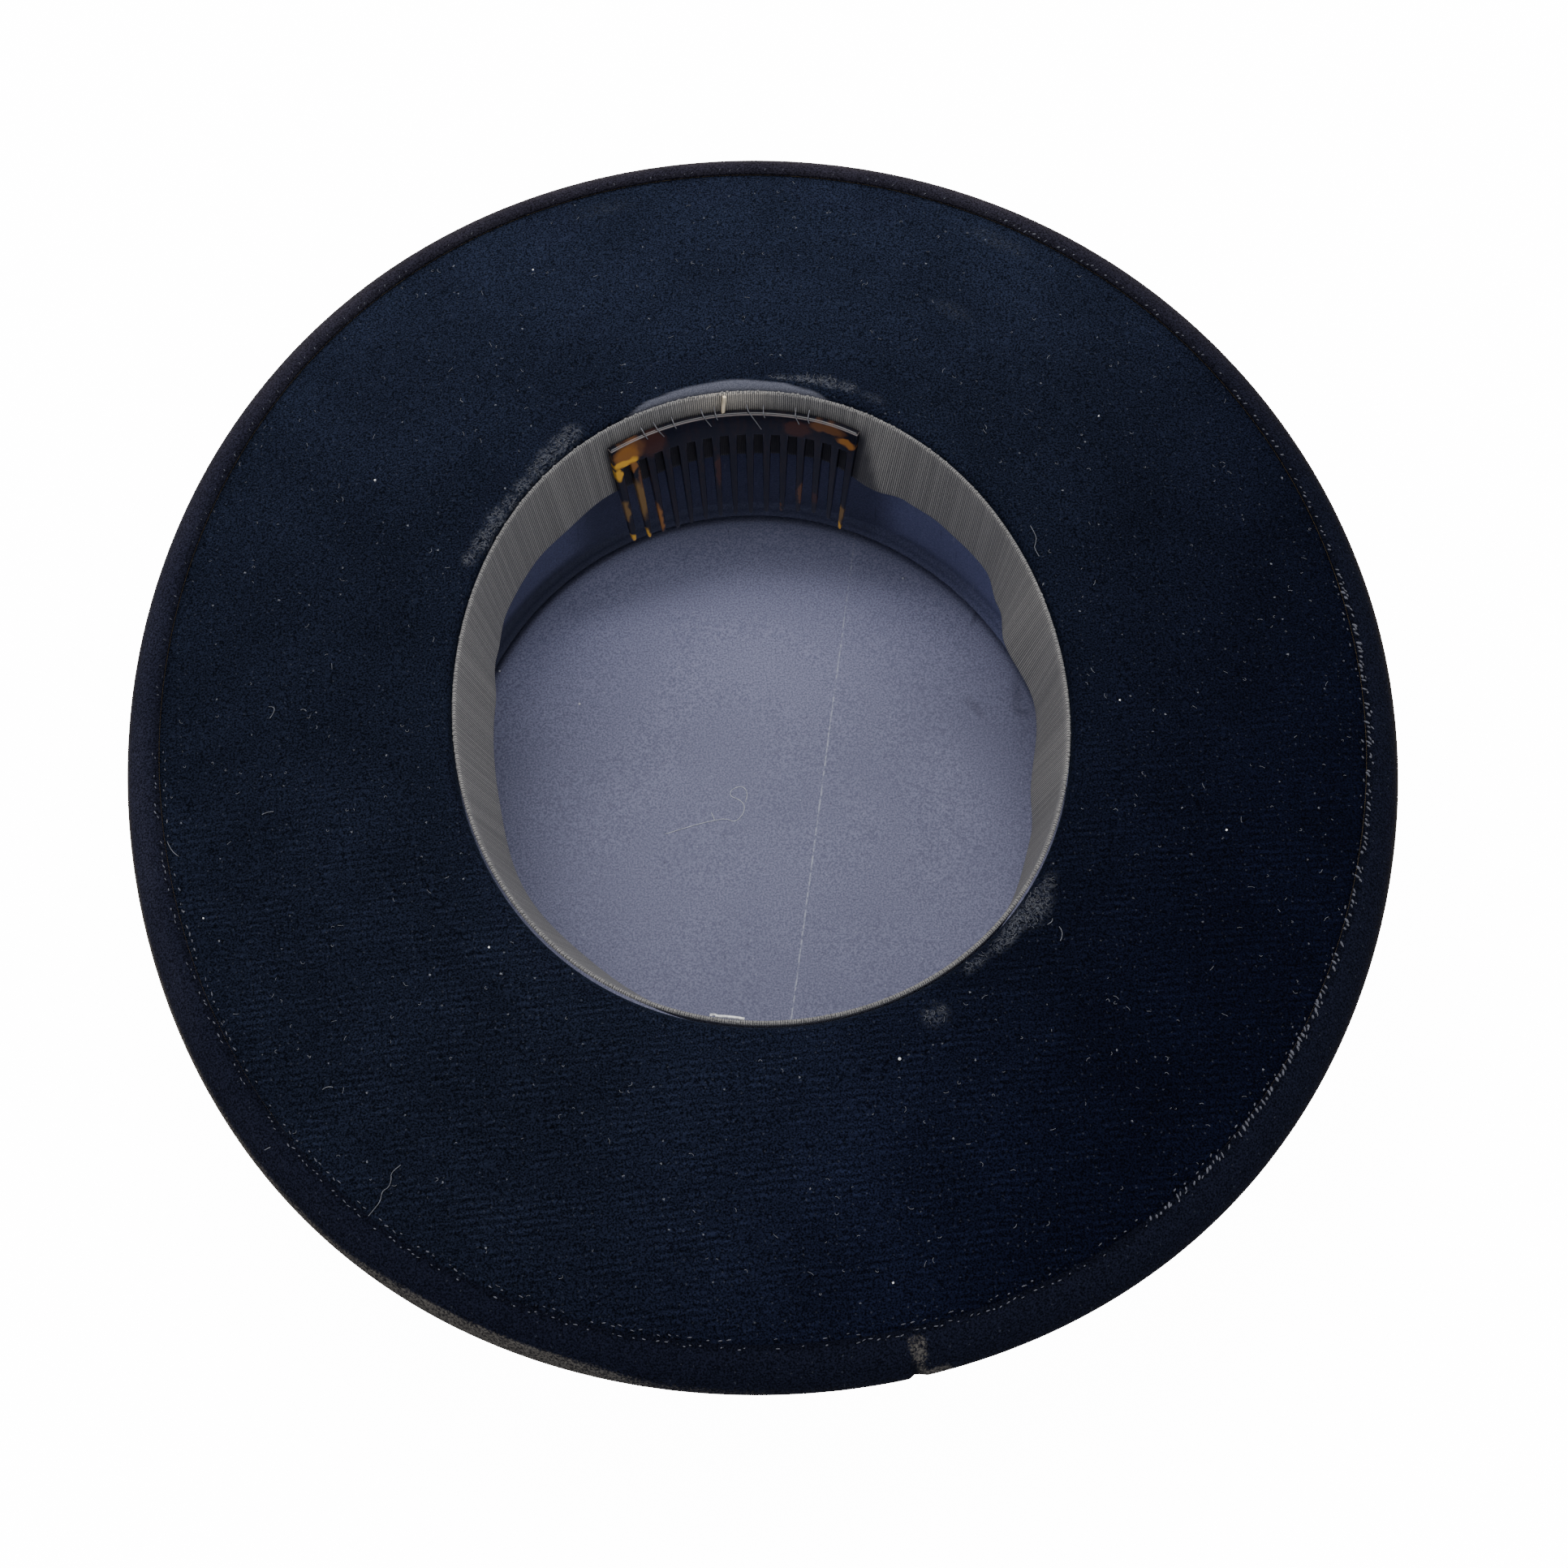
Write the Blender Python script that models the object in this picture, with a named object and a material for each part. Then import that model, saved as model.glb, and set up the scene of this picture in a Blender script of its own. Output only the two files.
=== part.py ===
"""A wide-brimmed velvet hat, lying upside down on the flat tip of its crown.

Metres, +Z up. The origin is the middle of the crown tip's outer face. +Y is the back of the hat,
where the comb is sewn in, and +X its right side as it lies. Every wall follows the head oval, the
edge of the opening: a wall's line is drawn as distance out from that oval and height under the
opening, spun once round, and then shaped to the oval and given its thickness.
"""
import math

import bmesh
import bpy
from mathutils import Vector

# The opening for the head
HEAD_HALF_WIDTH = 0.0826
HEAD_HALF_LENGTH = 0.0960
GAP = 0.0003

# The crown, from the opening down to its lined tip
CROWN_DEPTH = 0.0812
CROWN_FLARE = 0.0105
CROWN_CLOTH = 0.0016
TIP_EDGE_RADIUS = 0.0040
TIP_SEAM = 0.0020
LINING_CLOTH = 0.0010

# The brim, flat to its seam and rolled down beyond it
BRIM_WIDTH = 0.0893
BRIM_CLOTH = 0.0024
BRIM_DROP = 0.0065
BRIM_DROP_POWER = 1.6
JOIN_RADIUS = 0.0015
TURNED_IN = 0.0060
ROLL_RADIUS = 0.0066
ROLL_TURN = math.radians(80)

# The velvet band bound over the brim's edge
BINDING_CLOTH = 0.0010
BINDING_FLAT = 0.0010

# The grosgrain ribbon inside the opening
RIBBON_WIDTH = 0.0250
RIBBON_CLOTH = 0.0010
RIBBON_TOP_DROP = 0.0006

# The comb sewn to the ribbon at the back
COMB_MIDDLE = math.radians(89)
COMB_WIDTH = 0.0775
COMB_HEIGHT = 0.0430
COMB_SPINE_HEIGHT = 0.0085
COMB_THICKNESS = 0.0022
COMB_DROP = 0.0057
COMB_EDGE_ROUND = 0.0007
COMB_TEETH = 15
COMB_TOOTH_SHARE = 0.50
COMB_TIP_RISE = 0.0030

# How the head oval is squarer at the front than an ellipse, as waves: how many go round it, the
# share of its half width that each adds, and its phase
HEAD_WAVES = (
    (1, 0.0100, math.radians(-90)),
    (3, 0.0100, math.radians(-90)),
    (4, 0.0060, math.radians(180)),
)

# How the brim's width changes round the hat, in the same columns, as shares of its width
BRIM_WIDTH_WAVES = (
    (1, 0.0116, math.radians(-96)),
    (2, 0.0084, math.radians(168)),
    (3, 0.0120, math.radians(-17)),
    (4, 0.0070, math.radians(143)),
    (5, 0.0028, math.radians(64)),
    (6, 0.0023, math.radians(-24)),
)

# How the brim's edge rises and falls, as shares of its width too
BRIM_HEIGHT_WAVES = (
    (2, 0.012, math.radians(80)),
    (3, 0.009, math.radians(150)),
)

# How far the ribbon's free edge leans into the opening: the angle round the oval in degrees,
# and the lean as a share of the ribbon's width
RIBBON_LEAN = (
    (-171, 0.34), (-154, 0.29), (-134, 0.36), (-113, 0.32), (-90, 0.25), (-67, 0.20),
    (-41, 0.17), (-26, 0.23), (-16, 0.31), (0, 0.21), (13, 0.38), (29, 0.18), (41, 0.22),
    (57, 0.32), (70, 0.14), (89, 0.18), (109, 0.22), (124, 0.28), (136, 0.18), (143, 0.25),
    (154, 0.19), (170, 0.32),
)

# The curve of the crown's side: the share of its depth, and the share of its flare there
CROWN_SIDE_CURVE = ((0.0, 0.0), (0.25, 0.35), (0.50, 0.66), (0.75, 0.89), (1.0, 1.0))

# The stretches of a comb tooth from its root to its tip: the share of its length, and how wide
# each ends as a share of how wide it starts
TOOTH_STRETCHES = ((0.55, 0.86), (0.37, 0.74), (0.08, 0.55))

ROUND_STEPS = 54
RIBBON_STEPS = 100
RIBBON_ROWS = 3
BRIM_ROWS = 4
ROLL_STEPS = 3
CAP_STEPS = 4
CORNER_STEPS = 2
COMB_EDGE_STEPS = 2
SMOOTH_ANGLE = math.radians(40)
# Points of the comb closer than this lie on the same flat face
SAME_PLACE = 0.00001
# Lines are spun at this radius, so that distances inside the oval stay positive
SPIN_RADIUS = 0.2000

# Worked out from the sizes above
TIP_TOP = CROWN_CLOTH
LINING_TIP_TOP = TIP_TOP + GAP + LINING_CLOTH
OPENING_HEIGHT = LINING_TIP_TOP + CROWN_DEPTH
BINDING_OFFSET = BRIM_CLOTH / 2 + GAP + BINDING_CLOTH / 2
BRIM_FLAT = BRIM_WIDTH - (ROLL_RADIUS + BINDING_OFFSET + BINDING_CLOTH / 2) * math.sin(ROLL_TURN)
JOIN_OUT = BRIM_CLOTH / 2 + JOIN_RADIUS
CROWN_TOP_OUT = BRIM_CLOTH + GAP + CROWN_CLOTH / 2
TIP_REACH = CROWN_TOP_OUT + CROWN_FLARE - TIP_EDGE_RADIUS - TIP_SEAM
LINING_OFFSET = CROWN_CLOTH / 2 + GAP + LINING_CLOTH / 2


def clear_scene():
    for obj in list(bpy.data.objects):
        bpy.data.objects.remove(obj, do_unlink=True)


def material(name, colour, roughness):
    made = bpy.data.materials.new(name)
    made.use_nodes = True
    shader = made.node_tree.nodes["Principled BSDF"]
    shader.inputs["Base Color"].default_value = (*colour, 1)
    shader.inputs["Roughness"].default_value = roughness
    shader.inputs["Metallic"].default_value = 0
    return made


def waves(table, angle):
    return sum(share * math.cos(order * angle - phase) for order, share, phase in table)


def oval_point(angle, outward, height):
    """The point at this angle of the head oval, this far out from it."""
    outward += HEAD_HALF_WIDTH * waves(HEAD_WAVES, angle)
    across = HEAD_HALF_LENGTH * math.cos(angle)
    along = HEAD_HALF_WIDTH * math.sin(angle)
    length = math.hypot(across, along)
    return Vector((
        HEAD_HALF_WIDTH * math.cos(angle) + outward * across / length,
        HEAD_HALF_LENGTH * math.sin(angle) + outward * along / length,
        height,
    ))


def brim_point(angle, outward, height):
    """Stretches a line of the brim to its width at this angle, and lets it drop and wave."""
    flat = BRIM_FLAT + BRIM_WIDTH * waves(BRIM_WIDTH_WAVES, angle)
    flat -= HEAD_HALF_WIDTH * waves(HEAD_WAVES, angle)
    share = (outward - JOIN_OUT) / (BRIM_FLAT - JOIN_OUT)
    if share <= 0:
        return oval_point(angle, outward, height)
    wave = BRIM_WIDTH * waves(BRIM_HEIGHT_WAVES, angle)
    if share < 1:
        reach = JOIN_OUT + (flat - JOIN_OUT) * share
        fall = BRIM_DROP * share ** BRIM_DROP_POWER - wave * share ** 2
    else:
        reach = flat + outward - BRIM_FLAT
        fall = BRIM_DROP * (1 + BRIM_DROP_POWER * (share - 1)) - wave * (2 * share - 1)
    return oval_point(angle, reach, height - fall)


def ribbon_lean(angle):
    """The ribbon's lean at this angle, eased from one row of its table to the next."""
    degrees = math.degrees(angle)
    first = RIBBON_LEAN[-1][0] - 360
    rows = [(first, RIBBON_LEAN[-1][1]), *RIBBON_LEAN, (RIBBON_LEAN[0][0] + 360, RIBBON_LEAN[0][1])]
    for (start, lean), (end, next_lean) in zip(rows, rows[1:]):
        if start <= degrees <= end:
            ease = (1 - math.cos(math.pi * (degrees - start) / (end - start))) / 2
            return lean + (next_lean - lean) * ease
    raise ValueError(f"no row of the ribbon's table holds {degrees} degrees")


def ribbon_point(angle, along, inward):
    """A point this far along the ribbon from its sewn edge, and this far in from its middle."""
    lean = math.asin(ribbon_lean(angle))
    out = -GAP - RIBBON_CLOTH / 2 - along * math.sin(lean) - inward * math.cos(lean)
    down = RIBBON_TOP_DROP + along * math.cos(lean) - inward * math.sin(lean)
    return oval_point(angle, out, OPENING_HEIGHT - down)


def spun(line, steps, place):
    """A sheet: the line of (outward, height) points spun round, each point then put by place."""
    mesh = bmesh.new()
    points = [mesh.verts.new((SPIN_RADIUS + outward, 0, height)) for outward, height in line]
    edges = [mesh.edges.new(pair) for pair in zip(points, points[1:])]
    bmesh.ops.spin(
        mesh, geom=points + edges, axis=(0, 0, 1), cent=(0, 0, 0),
        angle=math.tau, steps=steps, use_merge=True)
    for point in mesh.verts:
        outward = math.hypot(point.co.x, point.co.y) - SPIN_RADIUS
        point.co = place(math.atan2(point.co.y, point.co.x), outward, point.co.z)
    return mesh


def add_piece(name, mesh, finish, cloth=None):
    """Makes the named object from a bmesh, with its material and, for a sheet, its thickness."""
    data = bpy.data.meshes.new(name)
    mesh.to_mesh(data)
    mesh.free()
    data.materials.append(finish)
    data.shade_smooth()
    data.set_sharp_from_angle(angle=SMOOTH_ANGLE)
    piece = bpy.data.objects.new(name, data)
    bpy.context.collection.objects.link(piece)
    if cloth is not None:
        wall = piece.modifiers.new("Thickness", "SOLIDIFY")
        wall.thickness = cloth
        wall.offset = 0
        wall.use_even_offset = True
    return piece


def arc(centre, radius, start, end, steps):
    """Points on an arc in a wall's section, its angle measured outward from straight up."""
    turns = [start + (end - start) * step / steps for step in range(steps + 1)]
    return [(centre[0] + radius * math.sin(turn), centre[1] + radius * math.cos(turn)) for turn in turns]


def brim_line():
    """The brim's section: turned down into the crown, over the join, out flat, and rolled down."""
    middle = OPENING_HEIGHT - BRIM_CLOTH / 2
    join = arc((JOIN_OUT, middle - JOIN_RADIUS), JOIN_RADIUS, -math.pi / 2, 0, CORNER_STEPS)
    flat = [
        (JOIN_OUT + (BRIM_FLAT - JOIN_OUT) * row / BRIM_ROWS, middle)
        for row in range(1, BRIM_ROWS)
    ]
    roll = arc((BRIM_FLAT, middle - ROLL_RADIUS), ROLL_RADIUS, 0, ROLL_TURN, ROLL_STEPS)
    return [(BRIM_CLOTH / 2, OPENING_HEIGHT - TURNED_IN), *join, *flat, *roll]


def make_brim(finish):
    return add_piece("brim", spun(brim_line(), ROUND_STEPS, brim_point), finish, BRIM_CLOTH)


def binding_line():
    """The binding's section: over the roll, round the brim's end, and back along its far side."""
    middle = OPENING_HEIGHT - BRIM_CLOTH / 2
    centre = (BRIM_FLAT, middle - ROLL_RADIUS)
    end = arc(centre, ROLL_RADIUS, ROLL_TURN, ROLL_TURN, 1)[0]
    over = arc(centre, ROLL_RADIUS + BINDING_OFFSET, 0, ROLL_TURN, ROLL_STEPS)
    cap = arc(end, BINDING_OFFSET, ROLL_TURN, ROLL_TURN + math.pi, CAP_STEPS)
    under = arc(centre, ROLL_RADIUS - BINDING_OFFSET, ROLL_TURN, 0, ROLL_STEPS)
    inner = BRIM_FLAT - BINDING_FLAT
    return [
        (inner, middle + BINDING_OFFSET), *over, *cap[1:-1], *under, (inner, middle - BINDING_OFFSET),
    ]


def make_edge_binding(finish):
    sheet = spun(binding_line(), ROUND_STEPS, brim_point)
    return add_piece("edge_binding", sheet, finish, BINDING_CLOTH)


def crown_side_line(inset):
    """The crown's side from the top down and round its corner, this far inside the outer cloth."""
    top = OPENING_HEIGHT - BRIM_CLOTH - GAP
    bottom = CROWN_CLOTH / 2 + TIP_EDGE_RADIUS
    side = [
        (CROWN_TOP_OUT + CROWN_FLARE * flare - inset, top - (top - bottom) * depth)
        for depth, flare in CROWN_SIDE_CURVE
    ]
    centre = (TIP_REACH + TIP_SEAM, bottom)
    corner = arc(centre, TIP_EDGE_RADIUS - inset, math.pi / 2, math.pi, CORNER_STEPS)
    return [*side, *corner[1:], (TIP_REACH, corner[-1][1])]


def make_crown_side(finish):
    """The outer wall, which turns under at the bottom to meet the tip."""
    return add_piece("crown_side", spun(crown_side_line(0), ROUND_STEPS, oval_point), finish, CROWN_CLOTH)


def make_disc(name, reach, bottom, cloth, finish):
    """A flat oval piece, as far out as reach, whose lower face is at bottom."""
    mesh = bmesh.new()
    bmesh.ops.create_circle(mesh, cap_ends=True, radius=SPIN_RADIUS, segments=ROUND_STEPS)
    for point in mesh.verts:
        point.co = oval_point(math.atan2(point.co.y, point.co.x), reach, bottom + cloth / 2)
    return add_piece(name, mesh, finish, cloth)


def make_crown_tip(finish):
    return make_disc("crown_tip", TIP_REACH - GAP, 0, CROWN_CLOTH, finish)


def make_lining_tip(finish):
    return make_disc("lining_tip", TIP_REACH - GAP, TIP_TOP + GAP, LINING_CLOTH, finish)


def make_lining_side(finish):
    """The side lining, inside the crown's side from the brim's turned-in edge down to the tip."""
    top = OPENING_HEIGHT - TURNED_IN - GAP
    line = crown_side_line(LINING_OFFSET)
    inside = [point for point in line if point[1] < top]
    above = line[len(line) - len(inside) - 1]
    share = (above[1] - top) / (above[1] - inside[0][1])
    start = (above[0] + (inside[0][0] - above[0]) * share, top)
    return add_piece("lining_side", spun([start, *inside], ROUND_STEPS, oval_point), finish, LINING_CLOTH)


def make_sweatband(finish):
    """The ribbon: sewn at its upper edge, with a free lower edge that waves in and out."""
    def place(angle, outward, height):
        return ribbon_point(angle, -height, 0)

    line = [(0, -RIBBON_WIDTH * row / RIBBON_ROWS) for row in range(RIBBON_ROWS + 1)]
    return add_piece("sweatband", spun(line, RIBBON_STEPS, place), finish, RIBBON_CLOTH)


def comb_cuts():
    """Where each tooth's root starts and ends across the comb."""
    pitch = COMB_WIDTH / (COMB_TEETH - 1 + COMB_TOOTH_SHARE)
    starts = [pitch * tooth - COMB_WIDTH / 2 for tooth in range(COMB_TEETH)]
    return [(start, start + pitch * COMB_TOOTH_SHARE) for start in starts]


def comb_flat():
    """The comb before it is bent: across is x, thickness y, and its height z from 0 down."""
    mesh = bmesh.new()
    bmesh.ops.create_cube(mesh, size=1)
    bmesh.ops.scale(mesh, vec=(COMB_WIDTH, COMB_THICKNESS, COMB_SPINE_HEIGHT), verts=mesh.verts)
    bmesh.ops.translate(mesh, vec=(0, 0, -COMB_SPINE_HEIGHT / 2), verts=mesh.verts)
    top = [edge for edge in mesh.edges if all(point.co.z > -SAME_PLACE for point in edge.verts)]
    bmesh.ops.bevel(
        mesh, geom=top, affect="EDGES", offset=COMB_EDGE_ROUND, segments=COMB_EDGE_STEPS,
        profile=0.5, material=-1)
    cuts = [cut for tooth in comb_cuts() for cut in tooth][1:-1]
    for cut in cuts:
        geometry = [*mesh.verts, *mesh.edges, *mesh.faces]
        bmesh.ops.bisect_plane(mesh, geom=geometry, plane_co=(cut, 0, 0), plane_no=(1, 0, 0))
    return mesh


def tooth_root(mesh, start, end):
    """The face under the spine between these places across it."""
    for face in mesh.faces:
        middle = face.calc_center_median()
        if abs(middle.z + COMB_SPINE_HEIGHT) < SAME_PLACE and start < middle.x < end:
            return face
    raise ValueError("a tooth has no root")


def grow_tooth(mesh, face, length):
    """Draws a tooth down from its root in stretches, each slimmer than the last."""
    for stretch, slim in TOOTH_STRETCHES:
        face = bmesh.ops.extrude_discrete_faces(mesh, faces=[face])["faces"][0]
        bmesh.ops.translate(mesh, vec=(0, 0, -length * stretch), verts=face.verts)
        middle = face.calc_center_median()
        for point in face.verts:
            point.co.x = middle.x + (point.co.x - middle.x) * slim
            point.co.y = middle.y + (point.co.y - middle.y) * slim


def make_comb(finish):
    """The comb, laid along the inner face of the ribbon, its outer teeth a little shorter."""
    mesh = comb_flat()
    for start, end in comb_cuts():
        outer = abs(start + end) / COMB_WIDTH
        length = COMB_HEIGHT - COMB_SPINE_HEIGHT - COMB_TIP_RISE * outer ** 2
        grow_tooth(mesh, tooth_root(mesh, start, end), length)
    inward = RIBBON_CLOTH / 2 + GAP + COMB_THICKNESS / 2
    for point in mesh.verts:
        angle = COMB_MIDDLE - point.co.x / HEAD_HALF_WIDTH
        point.co = ribbon_point(angle, COMB_DROP - point.co.z, inward - point.co.y)
    bmesh.ops.recalc_face_normals(mesh, faces=mesh.faces)
    return add_piece("comb", mesh, finish)


def main():
    clear_scene()
    velvet = material("velvet", (0.006, 0.009, 0.018), 0.95)
    bound_velvet = material("bound_velvet", (0.012, 0.010, 0.016), 0.95)
    lining = material("lining", (0.10, 0.11, 0.17), 0.6)
    grosgrain = material("grosgrain", (0.13, 0.12, 0.12), 0.8)
    tortoiseshell = material("tortoiseshell", (0.10, 0.035, 0.01), 0.2)
    make_brim(velvet)
    make_edge_binding(bound_velvet)
    make_crown_side(velvet)
    make_crown_tip(velvet)
    make_lining_side(lining)
    make_lining_tip(lining)
    make_sweatband(grosgrain)
    make_comb(tortoiseshell)


main()
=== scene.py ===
"""The looks of a wide-brimmed velvet hat that lies upside down on the flat tip of its crown.

Metres, +Z up. +Y is the back of the hat, where the comb is sewn in, and +X its right side as it
lies. A place on a wall is an angle round the head oval, a distance out from it, and a height.
"""
import math
import random

import bmesh
import bpy
from mathutils import Matrix, Vector, noise


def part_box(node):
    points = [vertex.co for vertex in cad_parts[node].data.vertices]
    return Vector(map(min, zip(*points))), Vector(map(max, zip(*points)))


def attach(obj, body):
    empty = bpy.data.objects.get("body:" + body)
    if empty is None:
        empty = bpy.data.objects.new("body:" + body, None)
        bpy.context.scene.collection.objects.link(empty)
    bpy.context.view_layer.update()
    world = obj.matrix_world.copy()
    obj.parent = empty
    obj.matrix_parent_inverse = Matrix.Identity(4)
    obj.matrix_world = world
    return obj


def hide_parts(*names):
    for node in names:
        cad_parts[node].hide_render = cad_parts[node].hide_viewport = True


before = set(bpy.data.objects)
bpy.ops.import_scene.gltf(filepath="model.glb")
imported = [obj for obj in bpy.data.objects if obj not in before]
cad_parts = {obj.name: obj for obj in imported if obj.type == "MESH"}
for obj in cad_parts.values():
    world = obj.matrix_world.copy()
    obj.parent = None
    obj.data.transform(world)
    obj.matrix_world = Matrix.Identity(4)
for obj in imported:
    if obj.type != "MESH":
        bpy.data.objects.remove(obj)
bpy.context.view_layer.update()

# The head opening and the brim, as the solids have them
HEAD_HALF_WIDTH = 0.0826
HEAD_HALF_LENGTH = 0.0960
GAP = 0.0003
OPENING_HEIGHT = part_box("brim")[1][2]
BRIM_WIDTH = 0.0893
BRIM_CLOTH = 0.0024
BRIM_DROP = 0.0065
BRIM_DROP_POWER = 1.6
JOIN_RADIUS = 0.0015
TURNED_IN = 0.0060
ROLL_RADIUS = 0.0066
ROLL_TURN = math.radians(80)
BINDING_CLOTH = 0.0010
BINDING_FLAT = 0.0010

# The crown and its lining
CROWN_FLARE = 0.0105
CROWN_CLOTH = 0.0016
TIP_EDGE_RADIUS = 0.0040
TIP_SEAM = 0.0020
LINING_CLOTH = 0.0010

# The ribbon, its ribs and the little loops along its sewn edge
RIBBON_WIDTH = 0.0250
RIBBON_CLOTH = 0.0010
RIBBON_TOP_DROP = 0.0006
RIBS = 870
RIB_DEPTH = 0.00010
STEPS_PER_RIB = 4
PICOTS = 362
PICOT_RADIUS = 0.00046

# The comb, sewn to the ribbon at the back
COMB_MIDDLE = math.radians(89)
COMB_WIDTH = 0.0775
COMB_HEIGHT = 0.0430
COMB_SPINE_HEIGHT = 0.0085
COMB_THICKNESS = 0.0022
COMB_DROP = 0.0057
COMB_EDGE_ROUND = 0.0007
COMB_TEETH = 15
COMB_TOOTH_SHARE = 0.50
COMB_TIP_RISE = 0.0030

# Waves round the hat: how many go round it, the share of the size that each adds, and its phase
HEAD_WAVES = (
    (1, 0.0100, math.radians(-90)),
    (3, 0.0100, math.radians(-90)),
    (4, 0.0060, math.radians(180)),
)
BRIM_WIDTH_WAVES = (
    (1, 0.0116, math.radians(-96)),
    (2, 0.0084, math.radians(168)),
    (3, 0.0120, math.radians(-17)),
    (4, 0.0070, math.radians(143)),
    (5, 0.0028, math.radians(64)),
    (6, 0.0023, math.radians(-24)),
)
BRIM_HEIGHT_WAVES = (
    (2, 0.012, math.radians(80)),
    (3, 0.009, math.radians(150)),
)

# How far the ribbon's free edge leans in: degrees round the oval, share of the ribbon's width
RIBBON_LEAN = (
    (-171, 0.34), (-154, 0.29), (-134, 0.36), (-113, 0.32), (-90, 0.25), (-67, 0.20), (-41, 0.17),
    (-26, 0.23), (-16, 0.31), (0, 0.20), (13, 0.33), (21, 0.20), (29, 0.09), (41, 0.13), (50, 0.18),
    (57, 0.29), (70, 0.14), (89, 0.18), (109, 0.22), (119, 0.18), (128, 0.20), (139, 0.15),
    (150, 0.15), (160, 0.22), (170, 0.32),
)

# The curve of the crown's side: the share of its depth, and the share of its flare there
CROWN_SIDE_CURVE = ((0.0, 0.0), (0.25, 0.35), (0.50, 0.66), (0.75, 0.89), (1.0, 1.0))

# Crushed places of the brim's velvet: degrees round, distance out from the opening, half the
# length round the hat, half the width outwards, and how strong it is
CRUSHED_VELVET = (
    (120.5, 0.0040, 0.0030, 0.0024, 0.60),
    (123.5, 0.0030, 0.0034, 0.0026, 0.80),
    (127.0, 0.0026, 0.0028, 0.0026, 0.70),
    (130.0, 0.0020, 0.0030, 0.0022, 0.60),
    (134.0, 0.0018, 0.0030, 0.0020, 0.70),
    (138.0, 0.0018, 0.0026, 0.0020, 0.60),
    (142.0, 0.0024, 0.0036, 0.0022, 0.85),
    (146.5, 0.0026, 0.0036, 0.0020, 0.85),
    (150.5, 0.0036, 0.0024, 0.0018, 0.60),
    (79.0, 0.0042, 0.0040, 0.0008, 0.60),
    (74.5, 0.0046, 0.0040, 0.0012, 0.80),
    (70.5, 0.0052, 0.0036, 0.0015, 0.85),
    (67.0, 0.0054, 0.0026, 0.0016, 0.60),
    (62.0, 0.0048, 0.0040, 0.0014, 0.32),
    (-41.5, 0.0036, 0.0060, 0.0020, 0.50),
    (-44.0, 0.0046, 0.0050, 0.0030, 0.65),
    (-46.5, 0.0030, 0.0075, 0.0020, 0.75),
    (-50.5, 0.0034, 0.0060, 0.0018, 0.60),
    (-57.5, 0.0028, 0.0040, 0.0014, 0.45),
    (-67.8, 0.0083, 0.0034, 0.0026, 0.45),
    (59.0, 0.0730, 0.0100, 0.0022, 0.30),
    (59.0, 0.0435, 0.0060, 0.0022, 0.28),
    (100.0, 0.0727, 0.0090, 0.0022, 0.22),
)

# The bare satin edge of the brim's join at the back: degrees round, how far out it reaches
BARE_EDGE = (
    (68, 0.0), (74, 0.0016), (80, 0.0026), (88, 0.0031), (96, 0.0028), (104, 0.0020), (112, 0.0),
)

# The camera, over the front of the hat
CAMERA_TURN = math.radians(5.95)
CAMERA_TILT = math.radians(26)
CAMERA_DISTANCE = 0.7741
CAMERA_ASIDE = 0.0066331
CAMERA_NEARER = 0.0251559
CAMERA_LENS = 66.81
CAMERA_SENSOR = 36

ROUND_STEPS = 360
BRIM_STEPS = 540
BINDING_STEPS = 720
JOIN_STEPS = 8
BRIM_ROWS = 40
ROLL_STEPS = 10
CAP_STEPS = 8
SMOOTH_ANGLE = math.radians(50)
SAME_PLACE = 0.00001

# Worked out from the sizes above
TIP_TOP = CROWN_CLOTH
LINING_TIP_TOP = TIP_TOP + GAP + LINING_CLOTH
BINDING_OFFSET = BRIM_CLOTH / 2 + GAP + BINDING_CLOTH / 2
BRIM_FLAT = BRIM_WIDTH - (ROLL_RADIUS + BINDING_OFFSET + BINDING_CLOTH / 2) * math.sin(ROLL_TURN)
JOIN_OUT = BRIM_CLOTH / 2 + JOIN_RADIUS
CROWN_TOP_OUT = BRIM_CLOTH + GAP + CROWN_CLOTH / 2
TIP_REACH = CROWN_TOP_OUT + CROWN_FLARE - TIP_EDGE_RADIUS - TIP_SEAM
LINING_OFFSET = CROWN_CLOTH / 2 + GAP + LINING_CLOTH / 2

chance = random.Random(7)


# Places on the hat

def waves(table, angle):
    return sum(share * math.cos(order * angle - phase) for order, share, phase in table)


def oval_point(angle, outward, height):
    """The point at this angle of the head oval, this far out from it."""
    outward += HEAD_HALF_WIDTH * waves(HEAD_WAVES, angle)
    across = HEAD_HALF_LENGTH * math.cos(angle)
    along = HEAD_HALF_WIDTH * math.sin(angle)
    length = math.hypot(across, along)
    return Vector((
        HEAD_HALF_WIDTH * math.cos(angle) + outward * across / length,
        HEAD_HALF_LENGTH * math.sin(angle) + outward * along / length,
        height,
    ))


def brim_point(angle, outward, height):
    """Stretches a line of the brim to its width at this angle, and lets it drop and wave."""
    flat = BRIM_FLAT + BRIM_WIDTH * waves(BRIM_WIDTH_WAVES, angle)
    flat -= HEAD_HALF_WIDTH * waves(HEAD_WAVES, angle)
    share = (outward - JOIN_OUT) / (BRIM_FLAT - JOIN_OUT)
    if share <= 0:
        return oval_point(angle, outward, height)
    wave = BRIM_WIDTH * waves(BRIM_HEIGHT_WAVES, angle)
    if share < 1:
        reach = JOIN_OUT + (flat - JOIN_OUT) * share
        fall = BRIM_DROP * share ** BRIM_DROP_POWER - wave * share ** 2
    else:
        reach = flat + outward - BRIM_FLAT
        fall = BRIM_DROP * (1 + BRIM_DROP_POWER * (share - 1)) - wave * (2 * share - 1)
    return oval_point(angle, reach, height - fall)


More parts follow.
